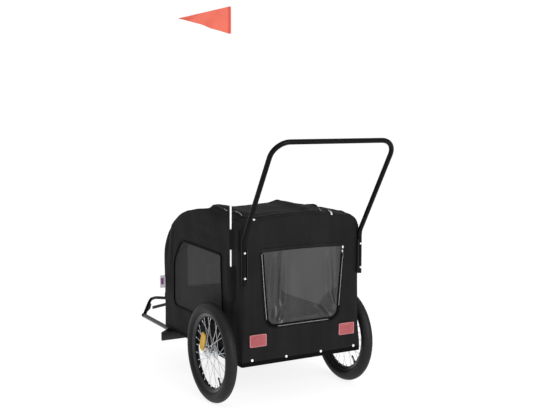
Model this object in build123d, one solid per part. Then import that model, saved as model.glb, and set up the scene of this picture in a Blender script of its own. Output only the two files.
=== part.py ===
from build123d import *
from math import cos, pi, radians, sin
import os

# Pet bike trailer with a push handle and a front swivel wheel, in millimetres.
# Everything is worked out in a frame with X to the right, Y in the towing direction and Z up,
# with the main axle above X = Y = 0. Heights are measured from the underside of the cabin's
# frame. At the end all pieces are moved together, so that the origin lies on the floor under
# the middle of the trailer's box.

# ---- main wheels -------------------------------------------------------------------------
wheel_diameter = 400.0
tyre_section = 47.0
bead_depth = 3.0               # how far the tyre sits down over the rim's edge
rim_depth = 14.0
rim_width = 25.0
hub_length = 54.0
hub_barrel_diameter = 22.0
inner_flange_diameter = 50.0
outer_flange_diameter = 38.0
flange_thickness = 3.0
flange_spacing = 33.0
spoke_diameter = 2.0
spoke_count = 28
spoke_lead_angle = 55.0        # how far a spoke turns round the hub on its way to the rim
spoke_stagger = 2.2            # a spoke's head stands this far off its flange's middle
axle_diameter = 12.0
axle_rise = 23.0               # the axle above the underside of the cabin's frame
running_gap = 0.05             # radial play of a shaft in its hole
axle_cap_diameter = 20.0
axle_cap_length = 6.0
axle_cap_gap = 1.0             # hub to cap, along the axle
axle_socket_diameter = 30.0
axle_socket_gap = 1.5          # hub to socket, along the axle
spoke_reflector_length = 76.0
spoke_reflector_width = 36.0
spoke_reflector_corner = 11.0
spoke_reflector_thickness = 7.0
spoke_reflector_radius = 52.0
spoke_reflector_angle = 48.0   # above the forward direction
spoke_reflector_lean = 20.0    # its upper end leans rearwards
spoke_reflector_gap = 2.6      # lens to the spokes' middle plane, at the lens's inner edge

# ---- cabin cover -------------------------------------------------------------------------
cabin_width = 545.0
wheel_clearance = 19.0         # cabin side to tyre
cabin_rear = -182.0
cabin_front = 588.0
cover_thickness = 3.0
roof_height = 571.0            # at the rear edge
roof_crown_rise = 20.0
roof_crown_place = 70.0
knee_inset = 267.0             # the roof starts to fall this far behind the front
knee_drop = 10.0
brow_height = 330.0            # the front is upright below this
knee_reach = 109.0             # how far the roof's slope carries past the knee
brow_reach = 113.0
roof_edge_radius = 55.0
shoulder_rise = 4.0
roof_middle_rise = 28.0
rear_corner_radius = 28.0
front_corner_radius = 12.0
cut_margin = 1.0               # how far a cut runs past the faces that it opens

# ---- windows and doors -------------------------------------------------------------------
side_window_rear = -20.0
side_window_front_inset = 120.0
side_window_bottom = 123.0
side_window_top = 420.0
side_window_corner = 30.0
side_window_front_corner = 130.0
screen_thickness = 1.0
screen_overlap = 10.0
door_gap = 5.0                 # round a door, where the zip runs
door_thickness = 3.0
door_border = 14.0
film_thickness = 1.0
rear_door_top = 442.0
rear_door_bottom = 148.0
rear_door_top_width = 372.0
rear_door_bottom_width = 324.0
door_corner_radius = 38.0
front_door_top = 313.0
front_door_bottom = 45.0
front_door_width = 380.0

# ---- frame -------------------------------------------------------------------------------
rail_size = 20.0
rail_gap = 2.5                 # rail to the inside of the cover
cross_rail_places = (0.0, 200.0, 400.0)
floor_thickness = 6.0
socket_hole_gap = 1.0          # round an axle socket, in the cover and the floor
hoop_diameter = 19.0
hoop_gap = 5.0                 # hoop to the cover's sides and rear
hoop_front_gap = 17.5
hoop_roof_drop = 36.0
hoop_knee_step = (9.0, 34.0)   # the hoop's knee lies this far ahead of and below the roof's
hoop_brow_rise = 63.0
hoop_radii = (45.0, 300.0, 140.0)
roof_bar_diameter = 16.0
rear_roof_bar_place = -100.0
front_roof_bar_share = 0.5     # of the way down the hoop's slope

# ---- push handle -------------------------------------------------------------------------
handle_diameter = 19.0
handle_gap = 0.6               # handle leg to the cover's rounded corner
handle_corner_angle = -57.5    # where on that corner the leg stands
handle_leg_bottom = 323.0
handle_bend_height = 494.0
handle_top_height = 868.7
handle_reach = 237.5           # the grip stands this far behind the cabin
handle_bend_radius = 60.0
handle_corner_radius = 66.0
tab_thickness = 3.0
tab_bottom = 331.0
tab_top = 461.0
tab_reach = 9.0
tab_slot_gap = 1.0

# ---- flag --------------------------------------------------------------------------------
pole_diameter = 6.5
pole_inset = 79.0              # ahead of the cabin's rear
pole_bottom = 248.0
pole_top = 1368.0
pole_gap = 0.3
pocket_wall = 2.0
pocket_floor = 6.0
pocket_length = 140.0
loop_drop = 44.0               # the loop's upper end below the roof's rear edge
loop_length = 79.0
pennant_length = 205.0
pennant_height = 102.0
pennant_tip_drop = 54.0
pennant_thickness = 1.2
pennant_hem_diameter = 11.0

# ---- rear reflectors ---------------------------------------------------------------------
reflector_width = 72.0
reflector_height = 47.0
reflector_thickness = 7.0
reflector_inset = 32.5         # cabin side to the lens
reflector_middle_height = 98.5
reflector_corner_radius = 4.0

# ---- front cross beam, tow bar and hitch -------------------------------------------------
beam_overhang = 59.5           # on each side of the cabin
beam_inset = 30.0              # beam to the cabin's front
beam_depth = 84.0
beam_height = 36.0
beam_corner_cut = 74.0        # slanting cut across each front corner
beam_wall = 3.0
beam_boss_size = 40.0          # solid stretch of the beam round the tow bar's seat
tow_bar_diameter = 20.0
tow_bar_inset = 22.5           # cabin side to the bar's middle
tow_bar_drop = 17.0            # its middle below the cabin's frame
tow_bar_seat = 74.0
tow_bar_length = 409.0
tow_arm_diameter = 15.0
tow_arm_steps = ((-1, 13, 0), (36, 18, 76), (85, 74, 69), (186, 143, 43))
tow_arm_radii = (26.0, 150.0)
tow_joint_diameter = 20.0
tow_joint_length = 22.0
hitch_step = (194.0, 149.0, 43.0)
hitch_pin_diameter = 8.0
hitch_eye_diameter = 30.0
hitch_eye_height = 18.0
hitch_cheek_thickness = 5.0
hitch_fork_gap = 0.5
hitch_throat = 6.0             # eye to the web of its fork
hitch_web_thickness = 8.0
hitch_plate_thickness = 8.0
hitch_plate_length = 30.0
hitch_plate_height = 36.0
hitch_bolt_hole = 10.2
lever_height = 14.0
lever_thickness = 5.0
lever_drop = 29.0              # the lever's middle at the pin, below the eye's middle
lever_step = (-131.0, -92.0, 9.8)

# ---- front swivel wheel ------------------------------------------------------------------
front_tyre_width = 36.0
front_tyre_height = 24.0
front_tyre_gap = 6.0           # tyre to the fork's crown
front_rim_width = 28.0
front_hub_length = 44.0
front_hub_diameter = 24.0
front_axle_diameter = 8.0
front_axle_overhang = 4.0
front_swivel_reach = 124.0     # ahead of the cabin
front_trail = 34.0
swivel_pin_diameter = 12.0
swivel_cap_diameter = 20.0
swivel_cap_height = 4.0
swivel_cap_gap = 1.0
barrel_diameter = 32.0
barrel_bottom = 0.5
barrel_top = 43.0
fork_crown_height = 10.0
fork_leg_thickness = 4.0
fork_leg_width = 24.0
fork_side_gap = 1.0
swivel_face_gap = 1.5
arm_diameter = 25.0
arm_boss_size = 50.0
arm_drop = 17.0                # its middle below the cabin's frame, in the beam
arm_rise = 21.0                # and above it, at the swivel
arm_lift_reach = 34.0          # where it starts to rise, ahead of the cabin
arm_bend_radius = 28.0

axle_height = wheel_diameter / 2
ride_height = axle_height - axle_rise
rim_seat_radius = axle_height - tyre_section + bead_depth
rim_radius = rim_seat_radius - rim_depth
half_width = cabin_width / 2
wheel_plane = half_width + wheel_clearance + tyre_section / 2
socket_face = wheel_plane - hub_length / 2 - axle_socket_gap
rail_side = half_width - cover_thickness - rail_gap
socket_end = rail_side - rail_size
shoulder_height = roof_height + shoulder_rise
side_top = shoulder_height - roof_edge_radius
roof_top = roof_height + roof_middle_rise
knee_place = cabin_front - knee_inset
side_window_front = cabin_front - side_window_front_inset
beam_front = cabin_front - beam_inset
beam_rear = beam_front - beam_depth
beam_length = cabin_width + 2 * beam_overhang
hoop_reach = hoop_diameter / 2
hoop_side = half_width - cover_thickness - hoop_gap - hoop_reach
hoop_rear = cabin_rear + cover_thickness + hoop_gap + hoop_reach
hoop_front = cabin_front - cover_thickness - hoop_front_gap - hoop_reach
far = 4 * (cabin_front - cabin_rear)   # longer than anything that it cuts

os.makedirs("parts", exist_ok=True)
pieces = {}


def block(x0, x1, y0, y1, z0, z1):
    """A box between two opposite corners."""
    return Pos((x0 + x1) / 2, (y0 + y1) / 2, (z0 + z1) / 2) * Box(abs(x1 - x0), abs(y1 - y0), abs(z1 - z0))


def rod_x(x0, x1, y, z, diameter):
    """A round bar along X."""
    return Pos((x0 + x1) / 2, y, z) * Rot(0, 90, 0) * Cylinder(diameter / 2, abs(x1 - x0))


def rod_y(x, y0, y1, z, diameter):
    """A round bar along Y."""
    return Pos(x, (y0 + y1) / 2, z) * Rot(90, 0, 0) * Cylinder(diameter / 2, abs(y1 - y0))


def rod_z(x, y, z0, z1, diameter):
    """A round bar along Z."""
    return Pos(x, y, (z0 + z1) / 2) * Cylinder(diameter / 2, abs(z1 - z0))


def tube_along(path, diameter):
    """A round bar bent along a wire."""
    start = Plane(origin=path @ 0, z_dir=path % 0)
    return sweep(start * Circle(diameter / 2), path=path)


# ---- main wheels, each built at X = 0 and then put on its side ------------------------------
def tyre():
    middle = axle_height - tyre_section / 2
    section = Plane.XZ * (Pos(0, middle) * Circle(tyre_section / 2))
    inside = Plane.XZ * (Pos(0, rim_seat_radius / 2) * Rectangle(2 * tyre_section, rim_seat_radius))
    return revolve(section - inside, axis=Axis.X, revolution_arc=360)


def rim():
    low = rim_radius
    well = rim_depth / 3
    half = rim_width / 2
    outline = Polyline(
        (-half, rim_seat_radius), (-half, rim_seat_radius - well), (-half / 2, low),
        (half / 2, low), (half, rim_seat_radius - well), (half, rim_seat_radius), close=True)
    return revolve(Plane.XZ * make_face(outline), axis=Axis.X, revolution_arc=360)


def hub():
    """Barrel and two flanges with a bore; the larger flange is on the inner side (+X here)."""
    body = rod_x(-hub_length / 2, hub_length / 2, 0, 0, hub_barrel_diameter)
    for side, across in ((-1, outer_flange_diameter), (1, inner_flange_diameter)):
        middle = side * flange_spacing / 2
        body += rod_x(middle - flange_thickness / 2, middle + flange_thickness / 2, 0, 0, across)
    return body - rod_x(-hub_length, hub_length, 0, 0, axle_diameter + 2 * running_gap)


def spokes():
    """Crossed spokes, half of them from each flange, and in turn from its two faces."""
    made = []
    for number in range(spoke_count):
        side = -1 if number % 2 else 1
        lead = 1 if number % 4 < 2 else -1
        across = inner_flange_diameter if side > 0 else outer_flange_diameter
        hub_radius = across / 2 - spoke_diameter
        rim_angle = 2 * pi * number / spoke_count
        hub_angle = rim_angle + lead * radians(spoke_lead_angle)
        flange = side * flange_spacing / 2 + lead * (flange_thickness / 2 + spoke_stagger / 2)
        start = Vector(flange, hub_radius * cos(hub_angle), hub_radius * sin(hub_angle))
        end = Vector(side * spoke_diameter, rim_radius * cos(rim_angle), rim_radius * sin(rim_angle))
        along = Plane(origin=start, z_dir=end - start)
        made.append(extrude(along * Circle(spoke_diameter / 2), (end - start).length))
    return Compound(children=made)


def spoke_reflector():
    """A flat lens set across the spokes ahead of the hub, with a lean of its own."""
    lens = Box(spoke_reflector_thickness, spoke_reflector_width, spoke_reflector_length)
    lens = fillet(lens.edges().filter_by(Axis.X), spoke_reflector_corner)
    lens = Pos(0, spoke_reflector_radius, 0) * Rot(spoke_reflector_lean - spoke_reflector_angle, 0, 0) * lens
    return Rot(spoke_reflector_angle, 0, 0) * lens


def axle():
    """The fixed pin of a wheel, from inside its socket to the cap outside the hub."""
    cap_start = -hub_length / 2 - axle_cap_gap
    pin = rod_x(cap_start - axle_cap_length / 2, wheel_plane - half_width + rail_size, 0, 0, axle_diameter)
    return pin + rod_x(cap_start - axle_cap_length, cap_start, 0, 0, axle_cap_diameter)


hub_radius = outer_flange_diameter / 2 - spoke_diameter
lens_share = (spoke_reflector_radius - spoke_reflector_width / 2 - hub_radius) / (rim_radius - hub_radius)
spoke_plane = -flange_spacing / 2 + (flange_spacing / 2 - spoke_diameter) * lens_share
lens_plane = spoke_plane - spoke_reflector_gap - spoke_reflector_thickness / 2
wheel_parts = {
    "tyre": tyre(), "rim": rim(), "hub": hub(), "spokes": spokes(),
    "spoke_reflector": Pos(lens_plane, 0, 0) * spoke_reflector(), "axle": axle(),
}
for name, shape in wheel_parts.items():
    pieces["left_" + name] = Pos(-wheel_plane, 0, axle_rise) * shape
    pieces["right_" + name] = Pos(wheel_plane, 0, axle_rise) * Rot(0, 0, 180) * shape


# ---- cabin cover -------------------------------------------------------------------------
# The plan gives the upright faces, so the two other profiles stand a little wider below the roof.
skirt = cover_thickness


def side_profile(inset, bottom):
    """The cabin seen from the side: a crowned roof that falls in one curve to the upright front."""
    back, front = cabin_rear + inset, cabin_front - inset
    edge = roof_height - inset
    knee = (knee_place, edge - knee_drop)
    with BuildSketch(Plane.YZ) as sketch:
        with BuildLine():
            Polyline((back - skirt, bottom), (back - skirt, edge), (back, edge))
            roof = ThreePointArc((back, edge), (roof_crown_place, edge + roof_crown_rise), knee)
            ahead = (roof % 1) * knee_reach
            Bezier(knee, (knee[0] + ahead.Y, knee[1] + ahead.Z), (front, brow_height + brow_reach - inset),
                   (front, brow_height))
            Polyline((front, brow_height), (front + skirt, brow_height), (front + skirt, bottom),
                     (back - skirt, bottom))
        make_face()
    return sketch.sketch


def end_profile(inset, bottom):
    """The cabin seen from behind: upright sides, round shoulders and a slightly crowned roof."""
    outer, inner = half_width - inset, half_width - roof_edge_radius
    shoulder, radius = shoulder_height - inset, roof_edge_radius - inset
    with BuildSketch(Plane.XZ) as sketch:
        with BuildLine():
            Polyline((-outer - skirt, bottom), (-outer - skirt, shoulder - radius),
                     (-outer, shoulder - radius))
            RadiusArc((-outer, shoulder - radius), (-inner, shoulder), radius)
            ThreePointArc((-inner, shoulder), (0, roof_top - inset), (inner, shoulder))
            RadiusArc((inner, shoulder), (outer, shoulder - radius), radius)
            Polyline((outer, shoulder - radius), (outer + skirt, shoulder - radius), (outer + skirt, bottom),
                     (-outer - skirt, bottom))
        make_face()
    return sketch.sketch


def plan_profile(inset):
    """The cabin seen from above, with its corners rounded."""
    x, back, front = half_width - inset, cabin_rear + inset, cabin_front - inset
    outline = Polyline((-x, back), (x, back), (x, front), (-x, front), close=True)
    face = make_face(outline)
    rear_corners = face.vertices().sort_by(Axis.Y)[:2]
    face = fillet(rear_corners, rear_corner_radius - inset)
    front_corners = face.vertices().sort_by(Axis.Y)[-2:]
    return fillet(front_corners, front_corner_radius - inset)


def cabin_block(inset, bottom):
    """The cabin's solid outline, with every face moved inwards by the inset."""
    body = extrude(side_profile(inset, bottom), far, both=True)
    body &= extrude(end_profile(inset, bottom), far, both=True)
    return body & extrude(plan_profile(inset), far, both=True)


def side_window(grow):
    """The outline of a side window in the YZ plane, with one large corner at the front of its top."""
    rear, front = side_window_rear - grow, side_window_front + grow
    low, high = side_window_bottom - grow, side_window_top + grow
    face = make_face(Polyline((rear, low), (front, low), (front, high), (rear, high), close=True))
    front_top = face.vertices().sort_by(Axis.X)[-2:].sort_by(Axis.Y)[-1]
    face = fillet(front_top, side_window_front_corner + grow)
    rear_pair = face.vertices().sort_by(Axis.X)[:2]
    front_low = face.vertices().sort_by(Axis.Y)[:2].sort_by(Axis.X)[-1]
    return Plane.YZ * fillet([*rear_pair, front_low], side_window_corner + grow)


def door_outline(top_width, bottom_width, bottom, top, grow, corner):
    """A door seen square on: wider at the top, with two round lower corners."""
    outline = Polyline(
        (-bottom_width / 2 - grow, bottom - grow), (bottom_width / 2 + grow, bottom - grow),
        (top_width / 2 + grow, top + grow), (-top_width / 2 - grow, top + grow), close=True)
    face = make_face(outline)
    return Plane.XZ * fillet(face.vertices().sort_by(Axis.Y)[:2], corner + grow)


def rear_door_shape(grow):
    return door_outline(rear_door_top_width, rear_door_bottom_width, rear_door_bottom, rear_door_top,
                        grow, door_corner_radius)


def front_door_shape(grow):
    return door_outline(front_door_width, front_door_width, front_door_bottom, front_door_top,
                        grow, door_corner_radius)


def between(face, y0, y1):
    """A flat outline in the XZ plane made into a panel between two places along Y."""
    moved = Pos(0, y0, 0) * face
    return extrude(moved, amount=y1 - y0, dir=(0, 1, 0))


shell = cabin_block(0, 0) - cabin_block(cover_thickness, -cover_thickness)

corner_middle = Vector(half_width - rear_corner_radius, cabin_rear + rear_corner_radius, 0)
leg_angle = radians(handle_corner_angle)
leg_distance = rear_corner_radius + handle_gap + handle_diameter / 2
handle_x = corner_middle.X + leg_distance * cos(leg_angle)
handle_y = corner_middle.Y + leg_distance * sin(leg_angle)
tab_outer = handle_x - handle_diameter / 2
tab_inner = tab_outer - tab_thickness

axle_holes = rod_x(-far, far, 0, axle_rise, axle_socket_diameter + 2 * socket_hole_gap)
side_cut = extrude(side_window(0), far, both=True)
shell -= axle_holes + side_cut
for side in (-1, 1):
    shell -= block(side * (tab_inner - tab_slot_gap), side * (tab_outer + tab_slot_gap), handle_y - tab_reach,
                   hoop_rear, tab_bottom - tab_slot_gap, tab_top + tab_slot_gap)
rear_inside, front_inside = cabin_rear + cover_thickness, cabin_front - cover_thickness
shell -= between(rear_door_shape(door_gap), cabin_rear - cut_margin, rear_inside + cut_margin)
shell -= between(front_door_shape(door_gap), front_inside - cut_margin, cabin_front + cut_margin)

left_region = block(-far, -half_width + cover_thickness, -far, far, -far, far)
right_region = block(half_width - cover_thickness, far, -far, far, -far, far)
rear_region = block(-far, far, -far, cabin_rear + rear_corner_radius, -far, side_top)
front_region = block(-far, far, cabin_front - front_corner_radius, far, -far, brow_height)
middle = shell - left_region - right_region
pieces["left_wall"] = shell & left_region
pieces["right_wall"] = shell & right_region
pieces["rear_wall"] = middle & rear_region
pieces["front_wall"] = middle & front_region
pieces["roof_cover"] = middle - rear_region - front_region

for side, name in ((-1, "left"), (1, "right")):
    screen = extrude(side_window(screen_overlap), amount=screen_thickness, dir=(-side, 0, 0))
    pieces[name + "_window_screen"] = Pos(side * (half_width - cover_thickness), 0, 0) * screen

door_inside = cabin_rear + door_thickness
door = between(rear_door_shape(0), cabin_rear, door_inside)
hole = between(rear_door_shape(-door_border), cabin_rear - cut_margin, door_inside + cut_margin)
pieces["rear_door"] = door - hole
pieces["rear_door_window"] = between(rear_door_shape(-door_border), cabin_rear + film_thickness,
                                     cabin_rear + 2 * film_thickness)
door_inside = cabin_front - door_thickness
door = between(front_door_shape(0), door_inside, cabin_front)
hole = between(front_door_shape(-door_border), door_inside - cut_margin, cabin_front + cut_margin)
pieces["front_door"] = door - hole
pieces["front_door_screen"] = between(front_door_shape(-door_border), cabin_front - 2 * film_thickness,
                                      cabin_front - film_thickness)


# ---- frame -------------------------------------------------------------------------------
floor_plan = plan_profile(cover_thickness + rail_gap)
frame = extrude(floor_plan, rail_size)
rail_front = cabin_front - cover_thickness - rail_gap
rail_rear = cabin_rear + cover_thickness + rail_gap
frame -= block(-socket_end, socket_end, rail_rear + rail_size, rail_front - rail_size, -far, far)
for place in cross_rail_places:
    frame += block(-rail_side, rail_side, place - rail_size / 2, place + rail_size / 2, 0, rail_size)
for side in (-1, 1):
    frame += rod_x(side * socket_face, side * socket_end, 0, axle_rise, axle_socket_diameter)
    frame -= rod_x(side * wheel_plane, side * (half_width - rail_size), 0, axle_rise, axle_diameter)
pieces["floor_frame"] = frame

board = extrude(Pos(0, 0, rail_size) * floor_plan, floor_thickness)
for side in (-1, 1):
    hole_end = side * (socket_end - socket_hole_gap)
    board -= rod_x(side * wheel_plane, hole_end, 0, axle_rise, axle_socket_diameter + 2 * socket_hole_gap)

hoop_top = roof_height - hoop_roof_drop
hoop_knee = (knee_place + hoop_knee_step[0], roof_height - knee_drop - hoop_knee_step[1])
hoop_brow = brow_height + hoop_brow_rise
for side, name in ((-1, "left"), (1, "right")):
    x = side * hoop_side
    hoop_path = FilletPolyline(
        (x, hoop_rear, rail_size), (x, hoop_rear, hoop_top), (x, *hoop_knee),
        (x, hoop_front, hoop_brow), (x, hoop_front, rail_size), radius=list(hoop_radii))
    hoop = tube_along(hoop_path, hoop_diameter)
    pieces[name + "_side_hoop"] = hoop
    board -= hoop
pieces["floor_panel"] = board

front_bar_y = hoop_knee[0] + front_roof_bar_share * (hoop_front - hoop_knee[0])
front_bar_z = hoop_knee[1] + front_roof_bar_share * (hoop_brow - hoop_knee[1])
rear_bar_share = (rear_roof_bar_place - hoop_rear) / (hoop_knee[0] - hoop_rear)
rear_bar_z = hoop_top + rear_bar_share * (hoop_knee[1] - hoop_top)
bar_end = hoop_side - hoop_reach
pieces["rear_roof_bar"] = rod_x(-bar_end, bar_end, rear_roof_bar_place, rear_bar_z, roof_bar_diameter)
pieces["front_roof_bar"] = rod_x(-bar_end, bar_end, front_bar_y, front_bar_z, roof_bar_diameter)


# ---- push handle -------------------------------------------------------------------------
handle_top_place = cabin_rear - handle_reach
handle_path = FilletPolyline(
    (-handle_x, handle_y, handle_leg_bottom), (-handle_x, handle_y, handle_bend_height),
    (-handle_x, handle_top_place, handle_top_height), (handle_x, handle_top_place, handle_top_height),
    (handle_x, handle_y, handle_bend_height), (handle_x, handle_y, handle_leg_bottom),
    radius=[handle_bend_radius, handle_corner_radius, handle_corner_radius, handle_bend_radius])
pieces["push_handle"] = tube_along(handle_path, handle_diameter)
tabs = []
for side, name in ((-1, "left"), (1, "right")):
    tab = block(side * tab_inner, side * tab_outer, handle_y - tab_reach, hoop_rear, tab_bottom, tab_top)
    tabs.append(tab - pieces[name + "_side_hoop"])
pieces["handle_tabs"] = Compound(children=tabs)


# ---- flag --------------------------------------------------------------------------------
pole_x = -half_width - pocket_wall - pole_gap - pole_diameter / 2
pole_place = cabin_rear + pole_inset
pieces["flag_pole"] = rod_z(pole_x, pole_place, pole_bottom, pole_top, pole_diameter)
pocket_inside = pole_diameter + 2 * pole_gap
pocket_outside = pocket_inside + 2 * pocket_wall
loop_top = roof_height - loop_drop
pocket_bottom = pole_bottom - pocket_floor - pole_gap
pocket = rod_z(pole_x, pole_place, pocket_bottom, pocket_bottom + pocket_length, pocket_outside)
loop = rod_z(pole_x, pole_place, loop_top - loop_length, loop_top, pocket_outside)
pole_space = rod_z(pole_x, pole_place, pole_bottom - pole_gap, pole_top, pocket_inside)
pieces["flag_pockets"] = Compound(children=[pocket - pole_space, loop - pole_space])

hem = rod_z(pole_x, pole_place, pole_top - pennant_height, pole_top, pennant_hem_diameter)
outline = Polyline(
    (pole_x, pole_top), (pole_x - pennant_length, pole_top - pennant_tip_drop),
    (pole_x, pole_top - pennant_height), close=True)
cloth = extrude(Plane.XZ * make_face(outline), pennant_thickness / 2, both=True)
pennant = hem + Pos(0, pole_place, 0) * cloth
pieces["pennant"] = pennant - rod_z(pole_x, pole_place, -far, far, pole_diameter)

# ---- rear reflectors ---------------------------------------------------------------------
lens = Box(reflector_width, reflector_thickness, reflector_height)
lens = fillet(lens.edges().filter_by(Axis.Y), reflector_corner_radius)
lens_y = cabin_rear - reflector_thickness / 2
lens_x = half_width - reflector_inset - reflector_width / 2
lenses = [Pos(side * lens_x, lens_y, reflector_middle_height) * lens for side in (-1, 1)]
pieces["rear_reflectors"] = Compound(children=lenses)

# ---- front cross beam, tow bar and hitch -------------------------------------------------
tow_bar_x = -half_width + tow_bar_inset
tow_bar_rear = beam_front - tow_bar_seat
tow_bar_front = tow_bar_rear + tow_bar_length
arm_rear = beam_rear + beam_depth / 2
beam = block(-beam_length / 2, beam_length / 2, beam_rear, beam_front, -beam_height, 0)
beam = chamfer(beam.edges().filter_by(Axis.Z).group_by(Axis.Y)[-1], beam_corner_cut)
beam -= rod_y(tow_bar_x, tow_bar_rear, far, -tow_bar_drop, tow_bar_diameter)
beam -= rod_y(0, arm_rear, far, -arm_drop, arm_diameter)
space = block(beam_wall - beam_length / 2, beam_length / 2 - beam_wall, beam_rear + beam_wall,
              beam_front - beam_wall, beam_wall - beam_height, -beam_wall)
space = chamfer(space.edges().filter_by(Axis.Z).group_by(Axis.Y)[-1], beam_corner_cut - beam_wall / 2)
for place, size in ((tow_bar_x, beam_boss_size), (0, arm_boss_size)):
    space -= block(place - size / 2, place + size / 2, beam_rear, beam_front, -beam_height, 0)
pieces["front_beam"] = beam - space
pieces["tow_bar"] = rod_y(tow_bar_x, tow_bar_rear, tow_bar_front, -tow_bar_drop, tow_bar_diameter)

bar_end = Vector(tow_bar_x, tow_bar_front, -tow_bar_drop)
arm_path = FilletPolyline(*[bar_end + Vector(*step) for step in tow_arm_steps], radius=list(tow_arm_radii))
tow_arm = tube_along(arm_path, tow_arm_diameter)
joint_end = tow_bar_front + tow_joint_length
tow_arm += rod_y(tow_bar_x, tow_bar_front, joint_end, -tow_bar_drop, tow_joint_diameter)
hitch = bar_end + Vector(*hitch_step)
eye_half = hitch_eye_height / 2
tow_arm += rod_z(hitch.X, hitch.Y, hitch.Z - eye_half, hitch.Z + eye_half, hitch_eye_diameter)
pieces["tow_arm"] = tow_arm - rod_z(hitch.X, hitch.Y, -far, far, hitch_pin_diameter + 2 * running_gap)

cheek_reach = eye_half + hitch_fork_gap
web_start = hitch.Y + hitch_eye_diameter / 2 + hitch_throat
web_end = web_start + hitch_web_thickness
left_side, right_side = hitch.X - hitch_eye_diameter / 2, hitch.X + hitch_eye_diameter / 2
coupler = block(left_side, right_side, web_start, web_end, hitch.Z - cheek_reach, hitch.Z + cheek_reach)
for side in (-1, 1):
    low = hitch.Z + side * cheek_reach
    high = low + side * hitch_cheek_thickness
    coupler += block(left_side, right_side, hitch.Y, web_end, low, high)
    coupler += rod_z(hitch.X, hitch.Y, low, high, hitch_eye_diameter)
lever_start = hitch - Vector(0, 0, lever_drop)
lever_bottom, lever_top = lever_start.Z - lever_height / 2, lever_start.Z + lever_height / 2
pin_top = hitch.Z + cheek_reach + hitch_cheek_thickness
coupler += rod_z(hitch.X, hitch.Y, lever_bottom, pin_top, hitch_pin_diameter)
plate = Box(hitch_plate_thickness, hitch_plate_length, hitch_plate_height)
coupler += Pos(hitch.X, web_end + hitch_plate_length / 2, hitch.Z) * plate
coupler -= rod_x(left_side, right_side, web_end + hitch_plate_length / 2, hitch.Z, hitch_bolt_hole)
pieces["hitch_coupler"] = coupler
lever_run = Vector(*lever_step)
lever_plane = Plane(origin=lever_start, x_dir=(0, 0, 1), z_dir=lever_run)
lever = extrude(lever_plane * Rectangle(lever_height, lever_thickness), lever_run.length)
lever += rod_z(hitch.X, hitch.Y, lever_bottom, lever_top, 2 * hitch_pin_diameter)
pieces["hitch_lever"] = lever - rod_z(hitch.X, hitch.Y, lever_bottom, lever_top, hitch_pin_diameter)

# ---- front swivel wheel ------------------------------------------------------------------
swivel_y = cabin_front + front_swivel_reach
lift_y = cabin_front + arm_lift_reach
arm_line = FilletPolyline(
    (0, arm_rear, -arm_drop), (0, lift_y, -arm_drop), (0, lift_y + arm_rise + arm_drop, arm_rise),
    (0, swivel_y, arm_rise), radius=arm_bend_radius)
front_arm = tube_along(arm_line, arm_diameter)
front_arm += rod_z(0, swivel_y, barrel_bottom, barrel_top, barrel_diameter)
pieces["front_wheel_arm"] = front_arm - rod_z(0, swivel_y, -far, far, swivel_pin_diameter + 2 * running_gap)

crown_top = barrel_bottom - swivel_face_gap
crown_bottom = crown_top - fork_crown_height
front_radius = (ride_height + crown_bottom - front_tyre_gap) / 2
front_axle_y = swivel_y - front_trail
front_axle_z = front_radius - ride_height
leg_inner = front_hub_length / 2 + fork_side_gap
leg_outer = leg_inner + fork_leg_thickness
leg_rear, leg_front = front_axle_y - fork_leg_width / 2, front_axle_y + fork_leg_width / 2
fork = block(-leg_outer, leg_outer, leg_rear, swivel_y + barrel_diameter / 2, crown_bottom, crown_top)
for side in (-1, 1):
    fork += block(side * leg_inner, side * leg_outer, leg_rear, leg_front, front_axle_z, crown_bottom)
    fork += rod_x(side * leg_inner, side * leg_outer, front_axle_y, front_axle_z, fork_leg_width)
axle_end = leg_outer + front_axle_overhang
fork += rod_x(-axle_end, axle_end, front_axle_y, front_axle_z, front_axle_diameter)
cap_bottom = barrel_top + swivel_cap_gap
fork += rod_z(0, swivel_y, crown_top, cap_bottom, swivel_pin_diameter)
fork += rod_z(0, swivel_y, cap_bottom, cap_bottom + swivel_cap_height, swivel_cap_diameter)
pieces["front_fork"] = fork

place = Pos(0, front_axle_y, front_axle_z)
front_rim_radius = front_radius - front_tyre_height
wheel_hub = rod_x(-front_hub_length / 2, front_hub_length / 2, 0, 0, front_hub_diameter)
wheel_hub += rod_x(-front_rim_width / 2, front_rim_width / 2, 0, 0, 2 * front_rim_radius)
wheel_hub -= rod_x(-far, far, 0, 0, front_axle_diameter + 2 * running_gap)
pieces["front_wheel_hub"] = place * wheel_hub
section_radius = front_tyre_width / 2
section = Plane.XZ * (Pos(0, front_radius - section_radius) * Circle(section_radius))
inside = Plane.XZ * (Pos(0, front_rim_radius / 2) * Rectangle(2 * front_tyre_width, front_rim_radius))
pieces["front_tyre"] = place * revolve(section - inside, axis=Axis.X, revolution_arc=360)

# ---- the shared origin, and one file for each piece ------------------------------------------
corners = [shape.bounding_box() for shape in pieces.values()]
middle_x = (min(box.min.X for box in corners) + max(box.max.X for box in corners)) / 2
middle_y = (min(box.min.Y for box in corners) + max(box.max.Y for box in corners)) / 2
for name, shape in pieces.items():
    export_step(Pos(-middle_x, -middle_y, ride_height) * shape, f"parts/{name}.step")
print(f"{len(pieces)} pieces; the main axle is at {-middle_x:.3f}, {-middle_y:.3f}")
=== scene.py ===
# %% [markdown]
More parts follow.
